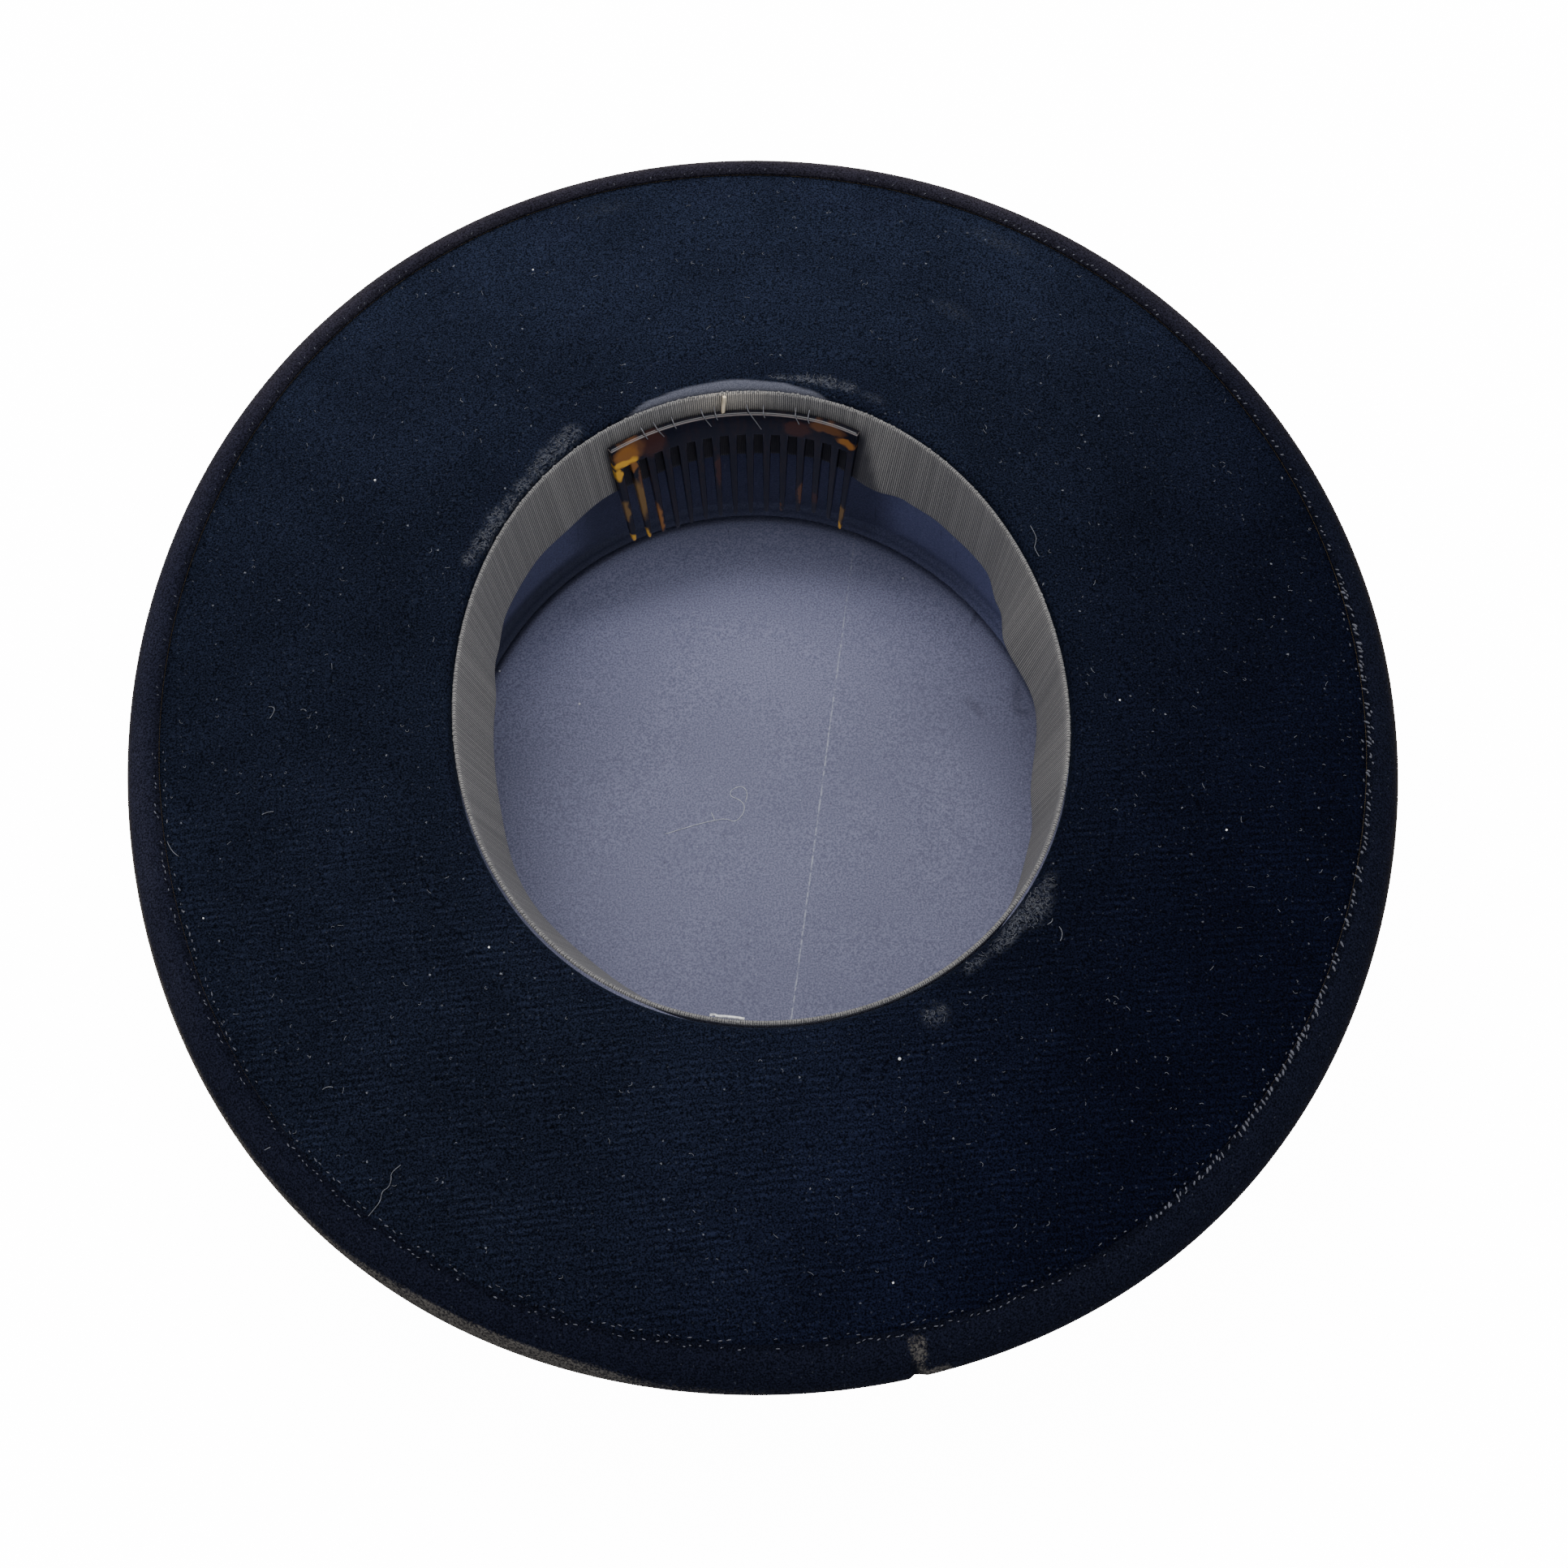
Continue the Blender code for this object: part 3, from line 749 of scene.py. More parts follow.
# Lighter places of the comb: across from its middle, down from its top, half the width, half the
# height, and the colour
AMBER = (0.58, 0.30, 0.025)
OLIVE = (0.15, 0.085, 0.025)
ORANGE_BROWN = (0.21, 0.085, 0.018)
BROWN = (0.085, 0.036, 0.016)
RED_BROWN = (0.034, 0.013, 0.010)
COMB_PATCHES = (
    (-0.0250, 0.0042, 0.0050, 0.0060, RED_BROWN),
    (-0.0318, 0.0034, 0.0050, 0.0052, BROWN),
    (-0.0345, 0.0042, 0.0052, 0.0046, ORANGE_BROWN),
    (-0.0350, 0.0070, 0.0052, 0.0018, AMBER),
    (-0.0380, 0.0105, 0.0016, 0.0030, AMBER),
    (-0.0330, 0.0098, 0.0016, 0.0028, ORANGE_BROWN),
    (-0.0300, 0.0170, 0.0020, 0.0100, BROWN),
    (-0.0385, 0.0262, 0.0022, 0.0056, OLIVE),
    (-0.0330, 0.0240, 0.0036, 0.0100, OLIVE),
    (-0.0385, 0.0395, 0.0026, 0.0030, AMBER),
    (-0.0332, 0.0395, 0.0022, 0.0040, AMBER),
    (-0.0280, 0.0350, 0.0022, 0.0085, ORANGE_BROWN),
    (0.0200, 0.0052, 0.0050, 0.0042, RED_BROWN),
    (0.0290, 0.0022, 0.0070, 0.0026, BROWN),
    (0.0356, 0.0050, 0.0040, 0.0018, ORANGE_BROWN),
    (0.0192, 0.0330, 0.0016, 0.0056, BROWN),
    (0.0224, 0.0330, 0.0016, 0.0062, BROWN),
    (0.0145, 0.0405, 0.0020, 0.0034, BROWN),
    (0.0265, 0.0340, 0.0020, 0.0030, RED_BROWN),
    (0.0365, 0.0345, 0.0026, 0.0058, OLIVE),
    (0.0365, 0.0390, 0.0022, 0.0026, AMBER),
    (-0.0050, 0.0230, 0.0014, 0.0080, RED_BROWN),
)
COMB_EDGE_HIGHLIGHT = (0.110, 0.092, 0.090)
SHELL_DARK = (0.0045, 0.0050, 0.0095)
SHELL_STREAK = (0.012, 0.008, 0.010)


def make_tortoiseshell():
    """Dark tortoiseshell with amber and red-brown places, and a painted highlight along its top edge."""
    finish, shader = new_finish("tortoiseshell", SHELL_DARK, 0.22)
    shader.inputs["Specular IOR Level"].default_value = 0.35
    shader.inputs["Coat Weight"].default_value = 0.2
    shader.inputs["Coat Roughness"].default_value = 0.10
    uv = node(finish, "UVMap", {}, uv_map="flat").outputs["UV"]
    straight = uv
    uv = bent(finish, uv, 0.003, 0.0012)
    streak = grains(finish, node(finish, "Mapping", {"Vector": uv, "Scale": (1, 0.08, 1)}).outputs[0], 0.0012)
    base = mixed(finish, between(finish, streak, 0.45, 0.75), SHELL_DARK, SHELL_STREAK)
    for across, down, half_width, half_height, colour in COMB_PATCHES:
        here = node(finish, "Mapping", {
            "Vector": uv, "Location": (across, -down, 0), "Scale": (half_width, half_height, 1),
        }, vector_type="TEXTURE").outputs["Vector"]
        away = node(finish, "VectorMath", {0: here}, operation="LENGTH").outputs["Value"]
        base = mixed(finish, between(finish, away, 1.0, 0.55), base, colour)
    # Painted highlight along the spine's top edge
    down = node(finish, "SeparateXYZ", {"Vector": straight}).outputs["Y"]
    rim = maths(
        finish, "MULTIPLY", between(finish, down, -0.0006, -0.0005), between(finish, down, -0.0002, -0.0003))
    base = mixed(finish, rim, base, COMB_EDGE_HIGHLIGHT)
    link(finish, base, shader, "Base Color")
    return finish


def make_plain(name, colour, roughness, grain, metallic=0.0):
    """A small hard or thread-like thing, with a little variation of its tone."""
    finish, shader = new_finish(name, colour, roughness)
    shader.inputs["Metallic"].default_value = metallic
    fine = grains(finish, object_place(finish), grain, 2.0)
    darker = tuple(0.55 * value for value in colour)
    link(finish, mixed(finish, between(finish, fine, 0.3, 0.7), darker, colour), shader, "Base Color")
    bumped(finish, shader, fine, grain / 8, 0.5)
    return finish


# The brim and its binding

def brim_line():
    """The brim's section: turned down into the crown, over the join, out flat, and rolled down."""
    middle = OPENING_HEIGHT - BRIM_CLOTH / 2
    join = arc((JOIN_OUT, middle - JOIN_RADIUS), JOIN_RADIUS, -math.pi / 2, 0, JOIN_STEPS)
    flat = [
        (JOIN_OUT + (BRIM_FLAT - JOIN_OUT) * (row / BRIM_ROWS) ** 1.5, middle)
        for row in range(1, BRIM_ROWS)
    ]
    roll = arc((BRIM_FLAT, middle - ROLL_RADIUS), ROLL_RADIUS, 0, ROLL_TURN, ROLL_STEPS)
    return [(BRIM_CLOTH / 2, OPENING_HEIGHT - TURNED_IN), *join, *flat, *roll]


def eased(value, low, high):
    """0 below low, 1 above high and a smooth step between them."""
    share = min(1, max(0, (value - low) / (high - low)))
    return share * share * (3 - 2 * share)


def from_table(table, degrees):
    """The value at this angle of a table of (degrees, value), eased between its rows."""
    for (start, value), (end, next_value) in zip(table, table[1:]):
        if start <= degrees <= end:
            return value + (next_value - value) * eased(degrees, start, end)
    return 0


def seen_reach(outward):
    """How far out the brim's skin is, where its middle is this far out on the round of the join."""
    if outward > JOIN_OUT:
        return outward
    return JOIN_OUT - (JOIN_OUT - outward) * JOIN_OUT / JOIN_RADIUS


def crushed_share(angle, outward, height):
    """How crushed the velvet is at this place, from 0 to 1."""
    strongest = 0
    for degrees, reach, half_length, half_width, strength in CRUSHED_VELVET:
        turn = (angle - math.radians(degrees) + math.pi) % math.tau - math.pi
        round_share = turn * (HEAD_HALF_LENGTH + reach) / half_length
        out_share = (seen_reach(outward) - reach) / half_width
        away = math.hypot(round_share, out_share)
        strongest = max(strongest, strength * (1 - eased(away, 0.2, 1.9)))
    return strongest


def bare_share(angle, outward, height):
    """How bare the join's satin edge is at this place, from 0 to 1."""
    edge = from_table(BARE_EDGE, math.degrees(angle))
    return 1 - eased(seen_reach(outward), edge - 0.0004, edge + 0.0002) if edge else 0


def make_brim(finish):
    mesh = wrapped(brim_line(), BRIM_STEPS, brim_point, crushed=crushed_share, bare=bare_share)
    piece = add_piece("velvet_brim", mesh, finish, BRIM_CLOTH)
    return dress(piece, "velvet", "brim")


def binding_line():
    """The binding's section: over the roll, round the brim's end, and back along its far side."""
    middle = OPENING_HEIGHT - BRIM_CLOTH / 2
    centre = (BRIM_FLAT, middle - ROLL_RADIUS)
    end = arc(centre, ROLL_RADIUS, ROLL_TURN, ROLL_TURN, 1)[0]
    over = arc(centre, ROLL_RADIUS + BINDING_OFFSET, 0, ROLL_TURN, ROLL_STEPS)
    cap = arc(end, BINDING_OFFSET, ROLL_TURN, ROLL_TURN + math.pi, CAP_STEPS)
    under = arc(centre, ROLL_RADIUS - BINDING_OFFSET, ROLL_TURN, 0, ROLL_STEPS)
    inner = BRIM_FLAT - BINDING_FLAT
    return [
        (inner, middle + BINDING_OFFSET), *over, *cap[1:-1], *under, (inner, middle - BINDING_OFFSET),
    ]


# Where the binding's ends meet at the front, and the notch in its outer edge there
JOIN_DEGREES = -83.5
NOTCH_DEGREES = -83.8
NOTCH_DEPTH = 0.0012
NOTCH_HALF_WIDTH = 0.0011


def roll_turn(outward, height):
    """How far round the brim's roll a point of the binding's section is."""
    middle = OPENING_HEIGHT - BRIM_CLOTH / 2
    return math.atan2(outward - BRIM_FLAT, height - (middle - ROLL_RADIUS))


def along_edge(angle, degrees):
    """The distance round the hat's outer edge from this many degrees."""
    turn = (angle - math.radians(degrees) + math.pi) % math.tau - math.pi
    return turn * (HEAD_HALF_LENGTH + BRIM_WIDTH)


def binding_point(angle, outward, height):
    """A point of the binding, drawn in a little at its notch."""
    pinch = math.exp(-(along_edge(angle, NOTCH_DEGREES) / NOTCH_HALF_WIDTH) ** 2)
    outward -= NOTCH_DEPTH * pinch * eased(roll_turn(outward, height), 0.6, 1.4)
    return brim_point(angle, outward, height)


def worn_share(angle, outward, height):
    """Wear of the binding at the front left and where its ends meet, and painted sheen on its left rim."""
    turn = roll_turn(outward, height)
    degrees = math.degrees(angle)
    band = eased(degrees, -140, -120) * (1 - eased(degrees, -112, -97))
    band *= eased(turn, 1.15 - 0.35 * band, 1.35 - 0.30 * band)
    off = along_edge(angle, JOIN_DEGREES)
    half = 0.0034 - 0.0020 * eased(turn, 0.1, 1.4)
    patch = (1 - eased(abs(off), half * 0.3, half * 1.2)) * eased(turn, 0.0, 0.25)
    lip = 0.7 * eased(turn, 1.0, 1.3) * eased(off, 0, 0.001) * (1 - eased(off, 0.006, 0.009))
    # Painted sheen along the outer rim, at the left of the hat
    rim = 0.62 * eased(abs(degrees + 10), 60, 120) * eased(turn, 0.95, 1.30)
    return max(0.85 * band, 0.52 * patch, lip, rim)


def fold_shade_share(angle, outward, height):
    """How strong the painted shade is in the fold that runs from the notch across the binding."""
    off = along_edge(angle, NOTCH_DEGREES)
    return (1 - eased(abs(off), 0.0003, 0.0012)) * eased(roll_turn(outward, height), 0.5, 1.0)


def make_binding(finish):
    mesh = wrapped(binding_line(), BINDING_STEPS, binding_point, worn=worn_share, fold=fold_shade_share)
    piece = add_piece("velvet_binding", mesh, finish, BINDING_CLOTH)
    return dress(piece, "bound_velvet", "edge_binding")


# Rows of stitches along the binding: from and to degrees, distance out from the seam, pitch, and
# each stitch's length, thickness, slant in degrees, lift and share that shows
STITCH_ROWS = (
    (-180, -62, -0.0012, 0.0024, 0.0013, 0.00040, 0, 0.0001, 0.55),
    (-180, -62, 0.0012, 0.0019, 0.0011, 0.00036, 8, 0.0015, 0.62),
    (-62, 8, 0.0006, 0.0015, 0.0018, 0.00075, 50, 0.0013, 0.80),
    (-62, 8, 0.0013, 0.0022, 0.0012, 0.00050, 30, 0.0015, 0.40),
    (-62, 8, -0.0009, 0.0026, 0.0011, 0.00050, 20, 0.0001, 0.45),
    (8, 60, 0.0008, 0.0017, 0.0011, 0.00045, 50, 0.0014, 0.50),
    (60, 180, 0.0012, 0.0026, 0.0010, 0.00022, 60, 0.0014, 0.40),
)


def make_binding_stitches(finish):
    places = []
    seam = BRIM_FLAT - BINDING_FLAT
    for start, end, out, pitch, length, thick, slant, lift, share in STITCH_ROWS:
        count = int(math.radians(end - start) * (HEAD_HALF_LENGTH + seam) / pitch)
        for number in range(count):
            if chance.random() > share:
                continue
            way = (number + chance.uniform(-0.25, 0.25)) / count
            angle = math.radians(start + (end - start) * way)
            across = seam + out + chance.uniform(-0.0004, 0.0004)
            size = (length / 2 * chance.uniform(0.5, 1.15), thick / 2 * chance.uniform(0.6, 1.2), thick / 2)
            twist = math.radians(slant) + chance.uniform(-0.35, 0.35)
            places.append(seat(
                lambda angle, across: brim_point(angle, across, OPENING_HEIGHT + lift),
                angle, across, size, twist))
    mesh = scattered(bead(6, 4), places)
    return dress(add_piece("binding_stitches", mesh, finish), "thread")


# The crown and its linings

def crown_side_line(inset, steps):
    """The crown's side from the top down and round its corner, this far inside the outer cloth."""
    top = OPENING_HEIGHT - BRIM_CLOTH - GAP
    bottom = CROWN_CLOTH / 2 + TIP_EDGE_RADIUS
    side = []
    for (depth, flare), (next_depth, next_flare) in zip(CROWN_SIDE_CURVE, CROWN_SIDE_CURVE[1:]):
        for step in range(steps):
            share = step / steps
            out = CROWN_TOP_OUT + CROWN_FLARE * (flare + (next_flare - flare) * share) - inset
            side.append((out, top - (top - bottom) * (depth + (next_depth - depth) * share)))
    centre = (TIP_REACH + TIP_SEAM, bottom)
    corner = arc(centre, TIP_EDGE_RADIUS - inset, math.pi / 2, math.pi, 2 * steps)
    return [*side, *corner, (TIP_REACH, corner[-1][1])]


def make_crown_wall(finish):
    mesh = wrapped(crown_side_line(0, 4), ROUND_STEPS, oval_point)
    return dress(add_piece("crown_wall", mesh, finish, CROWN_CLOTH), "velvet", "crown_side")


def disc_line(height, rows):
    """A line from the middle of the crown's tip out to its edge: shares of the way, height."""
    return [(row / rows, height) for row in range(rows + 1)]


def disc_place(reach, lift):
    """Puts a disc's points inside the oval that is this far out, raised by lift(point, share)."""
    def place(angle, share, height):
        point = oval_point(angle, reach, height)
        point.x *= share
        point.y *= share
        point.z += lift(point, share)
        return point
    return place


def make_crown_top(finish):
    place = disc_place(TIP_REACH - GAP, lambda point, share: 0)
    mesh = wrapped(disc_line(CROWN_CLOTH / 2, 20), ROUND_STEPS // 2, place)
    return dress(add_piece("crown_top", mesh, finish, CROWN_CLOTH), "velvet", "crown_tip")


LINING_WAVE = 0.0007
LINING_WAVE_LENGTH = 0.035

# Painted shade in the crease between the lining's side and its tip: degrees round, strength
CREASE = ((0, 0.18), (30, 0.35), (60, 0.50), (90, 0.65), (120, 0.78), (165, 0.74), (180, 0.50))


# Painted shade at the tip lining's edge, in the crease
def tip_crease_shade(angle, share, height):
    return from_table(CREASE, math.degrees(angle)) * eased(share, 0.962, 0.998)


def side_crease_and_comb_shade(angle, outward, height):
    """How much painted shade the side lining has: down in its crease, and the comb's shadow behind it."""
    low = from_table(CREASE, math.degrees(angle)) * (1 - eased(height, 0.003, 0.009))
    across = abs((COMB_MIDDLE - angle) * HEAD_HALF_WIDTH)
    behind = 0.62 * (1 - eased(across, COMB_WIDTH / 2 - 0.002, COMB_WIDTH / 2 + 0.010))
    return max(low, behind)


def lining_lift(point, share):
    """The lining's slack over the crown's tip: soft waves that fade out to its sewn edge."""
    wave = noise.noise(Vector((point.x, point.y, 0)) / LINING_WAVE_LENGTH)
    return LINING_WAVE * (1 + wave) * (1 - share ** 6)


def make_tip_lining(finish):
    bottom = TIP_TOP + GAP + LINING_CLOTH / 2
    place = disc_place(TIP_REACH - GAP, lining_lift)
    mesh = wrapped(disc_line(bottom, 40), ROUND_STEPS // 2, place, crease=tip_crease_shade)
    piece = dress(add_piece("tip_lining", mesh, finish, LINING_CLOTH), "lining", "lining_tip")
    return piece


def make_side_lining(finish):
    """The side lining, from the brim's turned-in edge down to the tip."""
    top = OPENING_HEIGHT - TURNED_IN - GAP
    line = crown_side_line(LINING_OFFSET, 6)
    inside = [point for point in line if point[1] < top]
    above = line[len(line) - len(inside) - 1]
    share = (above[1] - top) / (above[1] - inside[0][1])
    start = (above[0] + (inside[0][0] - above[0]) * share, top)
    mesh = wrapped([start, *inside], ROUND_STEPS, oval_point, crease=side_crease_and_comb_shade)
    piece = dress(add_piece("side_lining", mesh, finish, LINING_CLOTH), "lining", "lining_side")
    return piece


# The ribbon

def ribbon_rows():
    """The ribbon's section, a closed loop: down its inner face and back up its outer face."""
    inner = [0, 0.0006, 0.0030, 0.0090, 0.0150, 0.0200, 0.0236, 0.0246]
    outer = [0.0246, 0.0150, 0.0060, 0]
    half = RIBBON_CLOTH / 2
    down = [(half, -along) for along in inner]
    return [*down, (0, -RIBBON_WIDTH), *[(-half, -along) for along in outer], (0, 0.0004)]


def ribbon_shade(angle, outward, height):
    """How dark the ribbon is in the comb's shadow."""
    across = (COMB_MIDDLE - angle) * HEAD_HALF_WIDTH
    along = -height
    ends = 1 - eased(abs(across - 0.001), COMB_WIDTH / 2, COMB_WIDTH / 2 + 0.003)
    under = eased(along, COMB_DROP - 0.0005, COMB_DROP + 0.0030)
    fold = 0.8 * eased(across, COMB_WIDTH / 2 - 0.003, COMB_WIDTH / 2)
    fold *= 1 - eased(across - 0.45 * (along - COMB_DROP), COMB_WIDTH / 2 - 0.001, COMB_WIDTH / 2 + 0.003)
    return max(0.95 * ends * under, fold * under)


def make_ribbon(finish):
    def place(angle, outward, height):
        rib = math.cos(RIBS * angle)
        along = -height
        fade = min(1, max(0, along / 0.0006))
        inward = outward + math.copysign(RIB_DEPTH * rib * fade, outward) if outward else 0
        if along >= RIBBON_WIDTH:
            along += 2 * RIB_DEPTH * rib
        return ribbon_point(angle, along, inward)

    mesh = wrapped(ribbon_rows(), RIBS * STEPS_PER_RIB, place, closed=True, shaded=ribbon_shade)
    piece = dress(add_piece("ribbon", mesh, finish), "grosgrain", "sweatband")
    return piece


def make_picots(finish):
    """The little loops of thread along the ribbon's sewn edge."""
    places = []
    for number in range(PICOTS):
        angle = math.tau * (number + chance.uniform(-0.15, 0.15)) / PICOTS
        size = (
            PICOT_RADIUS * chance.uniform(0.95, 1.35), PICOT_RADIUS,
            PICOT_RADIUS * chance.uniform(0.8, 1.1))
        inward = chance.uniform(-0.0001, 0.0002)
        places.append(seat(
            lambda angle, along: ribbon_point(angle, along, inward),
            angle, chance.uniform(-0.0003, 0.0001), size))
    return dress(add_piece("ribbon_picots", scattered(bead(8, 5), places), finish), "grosgrain")


# The comb

# The stretches of a comb tooth from its root to its tip: the share of its length, and how wide
# each ends as a share of how wide it starts
TOOTH_STRETCHES = (
    (0.10, 0.97), (0.20, 0.93), (0.25, 0.90), (0.25, 0.86), (0.12, 0.84), (0.05, 0.90), (0.03, 0.60),
)


def comb_cuts():
    """Where each tooth's root starts and ends across the comb."""
    pitch = COMB_WIDTH / (COMB_TEETH - 1 + COMB_TOOTH_SHARE)
    starts = [pitch * tooth - COMB_WIDTH / 2 for tooth in range(COMB_TEETH)]
    return [(start, start + pitch * COMB_TOOTH_SHARE) for start in starts]


def comb_flat():
    """The comb before it is bent: across is x, thickness y, and its height z from 0 down."""
    mesh = bmesh.new()
    bmesh.ops.create_cube(mesh, size=1)
    bmesh.ops.scale(mesh, vec=(COMB_WIDTH, COMB_THICKNESS, COMB_SPINE_HEIGHT), verts=mesh.verts)
    bmesh.ops.translate(mesh, vec=(0, 0, -COMB_SPINE_HEIGHT / 2), verts=mesh.verts)
    top = [edge for edge in mesh.edges if all(point.co.z > -SAME_PLACE for point in edge.verts)]
    bmesh.ops.bevel(
        mesh, geom=top, affect="EDGES", offset=COMB_EDGE_ROUND, segments=4, profile=0.5, material=-1)
    for cut in [cut for tooth in comb_cuts() for cut in tooth][1:-1]:
        geometry = [*mesh.verts, *mesh.edges, *mesh.faces]
        bmesh.ops.bisect_plane(mesh, geom=geometry, plane_co=(cut, 0, 0), plane_no=(1, 0, 0))
    return mesh


def tooth_root(mesh, start, end):
    """The face under the spine between these places across it."""
    for face in mesh.faces:
        middle = face.calc_center_median()
        if abs(middle.z + COMB_SPINE_HEIGHT) < SAME_PLACE and start < middle.x < end:
            return face
    raise ValueError("a tooth has no root")


def grow_tooth(mesh, face, length):
    """Draws a tooth down from its root in stretches, each slimmer than the last."""
    for stretch, slim in TOOTH_STRETCHES:
        face = bmesh.ops.extrude_discrete_faces(mesh, faces=[face])["faces"][0]
        bmesh.ops.translate(mesh, vec=(0, 0, -length * stretch), verts=face.verts)
        middle = face.calc_center_median()
        for point in face.verts:
            point.co.x = middle.x + (point.co.x - middle.x) * slim
            point.co.y = middle.y + (point.co.y - middle.y) * slim


def make_comb(finish):
    mesh = comb_flat()
    for start, end in comb_cuts():
        outer = abs(start + end) / COMB_WIDTH
        length = COMB_HEIGHT - COMB_SPINE_HEIGHT - COMB_TIP_RISE * outer ** 2
        grow_tooth(mesh, tooth_root(mesh, start, end), length)
    flat = mesh.loops.layers.uv.new("flat")
    for face in mesh.faces:
        for loop in face.loops:
            loop[flat].uv = (loop.vert.co.x, loop.vert.co.z)
    inward = RIBBON_CLOTH / 2 + GAP + COMB_THICKNESS / 2
    for point in mesh.verts:
        angle = COMB_MIDDLE - point.co.x / HEAD_HALF_WIDTH
        point.co = ribbon_point(angle, COMB_DROP - point.co.z, inward - point.co.y)
    piece = add_piece("hair_comb", mesh, finish)
    edges = piece.modifiers.new("Rounded", "BEVEL")
    edges.width = 0.0004
    edges.segments = 2
    edges.limit_method = "ANGLE"
    edges.angle_limit = math.radians(40)
    return dress(piece, "tortoiseshell", "comb")


def comb_place(across, down, proud):
    """A point this far across the comb from its middle, down from its top and in front of it."""
    angle = COMB_MIDDLE - across / HEAD_HALF_WIDTH
    inward = RIBBON_CLOTH / 2 + GAP + COMB_THICKNESS + proud
    return ribbon_point(angle, COMB_DROP + down, inward)


# Threads that sew the comb's spine to the ribbon: across, and how far it leans across
COMB_STITCHES = (
    (-0.0275, 0.0008), (-0.0235, 0.0020), (-0.0180, 0.0006), (-0.0090, 0.0025), (-0.0050, 0.0006),
    (0.0045, 0.0045), (0.0095, 0.0006), (0.0190, 0.0016), (0.0230, 0.0006),
)


def make_comb_stitches(finish):
    paths = []
    for across, lean in COMB_STITCHES:
        paths.append([
            comb_place(across, -0.0016, -COMB_THICKNESS),
            comb_place(across + 0.1 * lean, -0.0010, -0.0002),
            comb_place(across + 0.3 * lean, 0.0002, 0.0003),
            comb_place(across + lean, 0.0006 + 1.2 * lean, 0.0002),
        ])
    return dress(strands("comb_stitches", paths, 0.0003, finish), "thread")


# Small things

PIN_DEGREES = 90.3
PIN_TOP = -0.0004
PIN_LENGTH = 0.0076


def make_pin(finish):
    angle = math.radians(PIN_DEGREES)
    path = [
        ribbon_point(angle + 0.010 * share, PIN_TOP + PIN_LENGTH * share, 0.0017)
        for share in (0, 0.3, 0.7, 1)
    ]
    return dress(strands("brass_pin", [path], 0.0012, finish), "gilt_metal")


# The white thread end on the ribbon's sewn edge at the front: degrees, along the ribbon, proud of it
WHITE_END = (
    ((-105.4, 0.0004, 0.0010), (-105.0, 0.0014, 0.0014), (-104.5, 0.0020, 0.0012)),
    ((-104.6, 0.0014, 0.0010), (-102.0, 0.0010, 0.0013), (-99.4, 0.0014, 0.0010)),
)


def make_white_end(finish):
    paths = [
        [ribbon_point(math.radians(degrees), along, proud) for degrees, along, proud in path]
        for path in WHITE_END
    ]
    return dress(strands("white_thread_end", paths, 0.0008, finish), "thread")


FIBRES_PER_SQUARE_METRE = 1.1e6
FAINT = 0.35


def make_tufts(finish):
    """Short loose fibres in the crushed places of the velvet, most of them pointing outwards."""
    paths = []
    for degrees, reach, half_length, half_width, strength in CRUSHED_VELVET:
        if strength < FAINT:
            continue
        count = int(strength * math.pi * half_length * half_width * FIBRES_PER_SQUARE_METRE)
        for number in range(count):
            middle = HEAD_HALF_LENGTH + reach
            start = degrees + math.degrees(half_length * chance.uniform(-1, 1) / middle)
            out = reach + half_width * chance.uniform(-1, 0.8)
            heading = chance.gauss(0.5, 1.0)
            curl = chance.uniform(-1.2, 1.2)
            step = chance.uniform(0.0002, 0.0006)
            path = []
            for part in range(4):
                path.append(on_brim(start, max(0.0010, out), 0.0002))
                start += math.degrees(step * math.sin(heading + curl * part) / middle)
                out += step * math.cos(heading + curl * part)
            paths.append(path)
    return dress(strands("crushed_pile", paths, 0.00012, finish), "velvet")


LINT_STRANDS = 380

# Threads and curls of lint that lie on the brim: degrees round and distance out of each point
LINT_CURLS = (
    ((-130.5, 0.0651), (-130.8, 0.0679), (-130.3, 0.0691), (-130.0, 0.0711), (-130.3, 0.0727),
     (-129.8, 0.0747), (-129.8, 0.0771), (-129.8, 0.0791), (-129.8, 0.0807), (-130.0, 0.0803)),
    ((25.2, 0.0055), (23.0, 0.0055), (21.8, 0.0039), (21.2, 0.0030), (19.5, 0.0032)),
    ((176.0, 0.0495), (176.0, 0.0479), (176.8, 0.0479), (177.5, 0.0491)),
    ((176.8, 0.0407), (176.5, 0.0399), (177.0, 0.0391)),
    ((-170.8, 0.0787), (-170.2, 0.0783), (-169.5, 0.0775), (-169.0, 0.0763)),
    ((-171.0, 0.0527), (-171.2, 0.0510), (-171.0, 0.0495)),
    ((-140.2, 0.0859), (-140.0, 0.0831), (-139.5, 0.0819)),
    ((-141.0, 0.0659), (-141.0, 0.0643), (-140.5, 0.0635)),
    ((-44.5, 0.0123), (-44.8, 0.0143), (-46.2, 0.0147)),
    ((-45.2, 0.0095), (-44.2, 0.0103), (-44.0, 0.0096)),
)

# White specks on the brim: degrees round, distance out and radius
WHITE_SPECKS = (
    (-75.8, 0.0151, 0.00042), (-84.2, 0.0679, 0.00030), (-141.8, 0.0115, 0.00030),
    (143.8, 0.0391, 0.00034), (109.8, 0.0591, 0.00028), (-23.0, 0.0435, 0.00032),
    (-7.0, 0.0131, 0.00028), (-162.1, 0.0735, 0.00026), (35.2, 0.0427, 0.00026),
)

# White specks on the crown's lining: x, y and radius
LINING_SPECKS = (
    (-0.0727, 0.0566, 0.00032), (-0.0498, 0.0432, 0.00034), (0.0508, 0.0756, 0.00028),
)

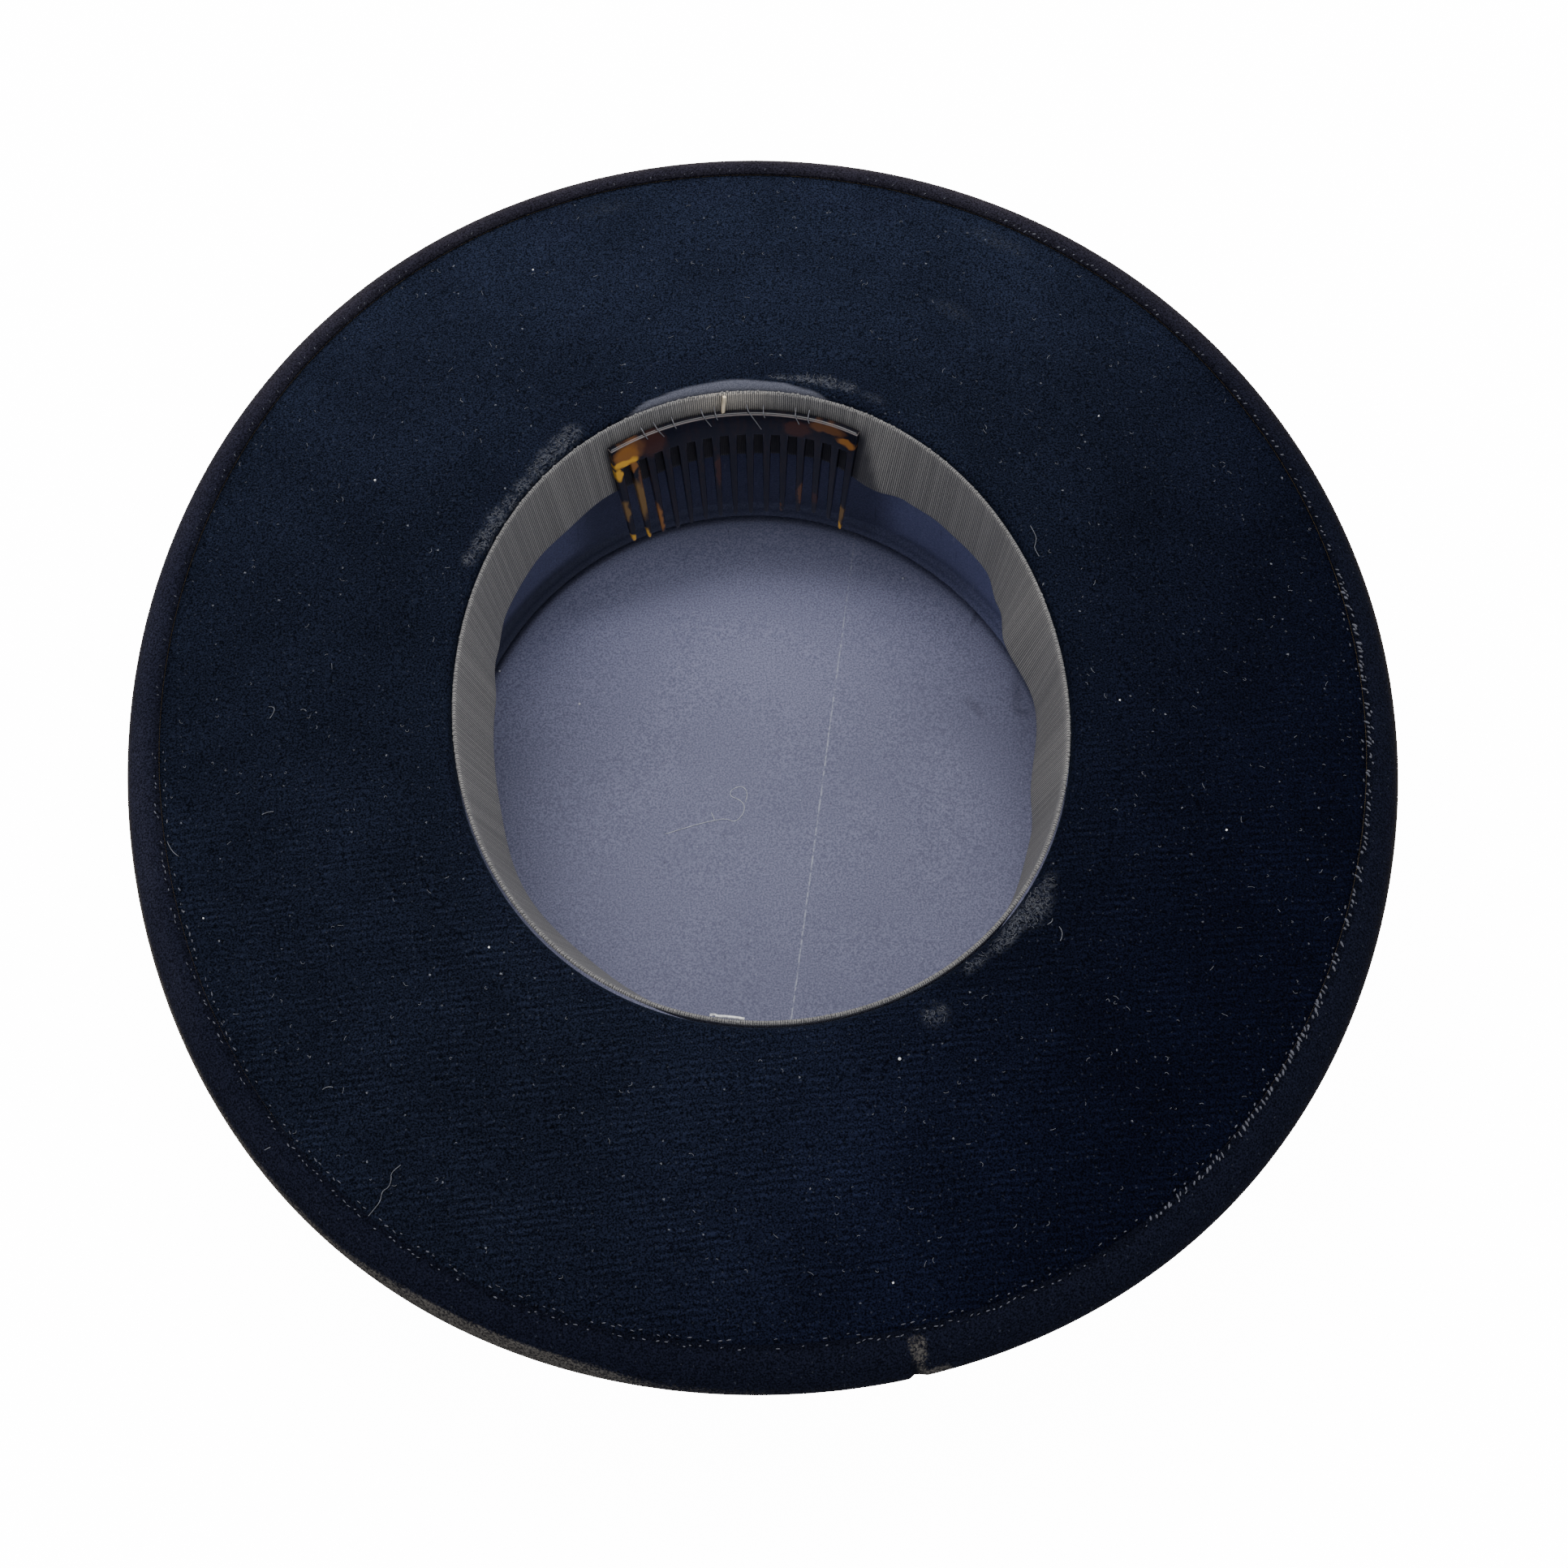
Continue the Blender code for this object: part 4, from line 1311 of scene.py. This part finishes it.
# The hair on the crown's lining: x and y of each point
HAIR = (
    ((-0.0282, -0.0019), (-0.0186, 0.0004), (-0.0135, 0.0010), (-0.0100, 0.0013), (-0.0076, -0.0004),
     (-0.0048, 0.0023), (-0.0043, 0.0051), (-0.0059, 0.0070), (-0.0082, 0.0081), (-0.0082, 0.0100),
     (-0.0057, 0.0112), (-0.0038, 0.0107), (-0.0030, 0.0080), (-0.0041, 0.0058)),
    ((-0.0142, 0.0036), (-0.0138, 0.0022), (-0.0135, 0.0010)),
)


def lint_path(degrees, outward, length, heading):
    """A short curled strand on the brim, from this place and in this heading."""
    path = []
    place = on_brim(degrees, outward, 0.0002)
    curl = chance.uniform(-1.2, 1.2)
    for step in range(5):
        path.append(place.copy())
        heading += curl + chance.uniform(-0.4, 0.4)
        place += Vector((math.cos(heading), math.sin(heading), 0)) * length / 4
    return path


def make_lint(finish):
    """Many tiny curls of lint, scattered over the brim."""
    paths = []
    for number in range(LINT_STRANDS):
        degrees = chance.uniform(-180, 180)
        outward = 0.004 + (BRIM_FLAT - 0.006) * chance.random() ** 0.7
        length = chance.uniform(0.0006, 0.0018)
        paths.append(lint_path(degrees, outward, length, chance.uniform(0, math.tau)))
    return dress(strands("lint", paths, 0.00013, finish), "thread")


def make_curls(finish):
    """The longer threads that lie on the brim."""
    paths = [[on_brim(degrees, out, 0.0003) for degrees, out in path] for path in LINT_CURLS]
    return dress(strands("loose_curls", paths, 0.00022, finish), "thread")


def make_specks(finish):
    """The few bright white specks, lying on the brim and on the crown's lining."""
    places = []
    for degrees, out, radius in WHITE_SPECKS:
        size = Matrix.Diagonal((radius, radius, radius, 1))
        places.append(Matrix.Translation(on_brim(degrees, out, 0.0002)) @ size)
    for x, y, radius in LINING_SPECKS:
        place = Vector((x, y, LINING_TIP_TOP))
        place.z += lining_lift(place, 0)
        size = Matrix.Diagonal((radius, radius, radius, 1))
        places.append(Matrix.Translation(place) @ size)
    return dress(add_piece("white_specks", scattered(bead(8, 5), places), finish), "thread")


def make_hair(finish):
    """The fine pale hair that lies on the crown's lining."""
    paths = []
    for path in HAIR:
        places = [Vector((x, y, 0)) for x, y in path]
        for place in places:
            place.z = LINING_TIP_TOP + lining_lift(place, 0) + 0.0001
        paths.append(places)
    return dress(strands("pale_hair", paths, 0.00020, finish), "thread")


# The floor, the lights and the camera

FLOOR_GLOW = 14


def make_floor():
    """A pale floor that shows white, and whose own glow doesn't light the hat."""
    finish, shader = new_finish("pale_floor", (0.9, 0.9, 0.9), 0.9)
    shader.inputs["Emission Color"].default_value = (1, 1, 1, 1)
    shader.inputs["Emission Strength"].default_value = FLOOR_GLOW
    mesh = bmesh.new()
    bmesh.ops.create_grid(mesh, x_segments=1, y_segments=1, size=4)
    bmesh.ops.translate(mesh, vec=(0, 0, -0.0002), verts=mesh.verts)
    floor = add_piece("floor", mesh, finish)
    floor.visible_diffuse = False
    floor.visible_glossy = False


def make_light(name, place, size, power, colour):
    light = bpy.data.lights.new(name, "AREA")
    light.size = size
    light.energy = power
    light.color = colour
    lamp = bpy.data.objects.new(name, light)
    lamp.location = place
    lamp.rotation_euler = (-Vector(place)).to_track_quat("-Z", "Y").to_euler()
    bpy.context.collection.objects.link(lamp)


def make_lights():
    world = bpy.context.scene.world or bpy.data.worlds.new("World")
    bpy.context.scene.world = world
    world.use_nodes = True
    sky = world.node_tree.nodes["Background"]
    sky.inputs["Color"].default_value = (0.92, 0.95, 1.0, 1)
    sky.inputs["Strength"].default_value = 0.9
    make_light("over_light", (-0.25, 0.45, 1.5), 1.2, 22, (1.0, 0.98, 0.96))
    make_light("fill_light", (0.9, -0.9, 1.2), 1.0, 6, (0.95, 0.97, 1.0))


def make_camera():
    right = Vector((math.cos(CAMERA_TURN), -math.sin(CAMERA_TURN), 0))
    back = Vector((math.sin(CAMERA_TURN), math.cos(CAMERA_TURN), 0))
    up = math.cos(CAMERA_TILT) * back + math.sin(CAMERA_TILT) * Vector((0, 0, 1))
    forward = math.sin(CAMERA_TILT) * back - math.cos(CAMERA_TILT) * Vector((0, 0, 1))
    data = bpy.data.cameras.new("camera")
    data.lens = CAMERA_LENS
    data.sensor_width = CAMERA_SENSOR
    camera = bpy.data.objects.new("camera", data)
    place = Vector((0, 0, OPENING_HEIGHT)) - CAMERA_DISTANCE * forward
    place += CAMERA_ASIDE * right - CAMERA_NEARER * up
    turn = Matrix((right, up, -forward)).transposed().to_4x4()
    camera.matrix_world = Matrix.Translation(place) @ turn
    bpy.context.collection.objects.link(camera)
    bpy.context.scene.camera = camera


def main():
    make_camera()
    make_floor()
    make_lights()
    velvet = make_velvet()
    outer_velvet = make_pile("outer_velvet")
    bound = make_bound_velvet()
    tip_cloth = make_lining("tip_cloth", (0.100, 0.103, 0.160), (0.185, 0.190, 0.275), True)
    side_cloth = make_lining("side_cloth", (0.078, 0.084, 0.155), (0.130, 0.140, 0.250), False)
    grosgrain = make_grosgrain()
    tortoiseshell = make_tortoiseshell()
    seam_thread = make_plain("seam_thread", (0.085, 0.088, 0.110), 0.8, 0.0006)
    grey_thread = make_plain("grey_thread", (0.16, 0.16, 0.18), 0.7, 0.0008)
    picot_thread = make_plain("picot_thread", (0.17, 0.165, 0.16), 0.7, 0.0006)
    brass = make_plain("brass", (0.95, 0.80, 0.56), 0.35, 0.004, 0.15)
    white = make_plain("white_thread", (0.9, 0.9, 0.9), 0.4, 0.001)
    fluff = make_plain("fluff", (0.13, 0.135, 0.155), 0.8, 0.001)
    pale_fluff = make_plain("pale_fluff", (0.62, 0.64, 0.70), 0.8, 0.001)
    torn_pile = make_plain("torn_pile", (0.085, 0.089, 0.105), 0.8, 0.001)
    make_brim(velvet)
    make_binding(bound)
    make_binding_stitches(seam_thread)
    make_crown_wall(outer_velvet)
    make_crown_top(outer_velvet)
    make_tip_lining(tip_cloth)
    make_side_lining(side_cloth)
    make_ribbon(grosgrain)
    make_picots(picot_thread)
    make_comb(tortoiseshell)
    make_comb_stitches(grey_thread)
    make_pin(brass)
    make_white_end(white)
    make_tufts(torn_pile)
    make_lint(fluff)
    make_curls(fluff)
    make_hair(pale_fluff)
    make_specks(white)


main()
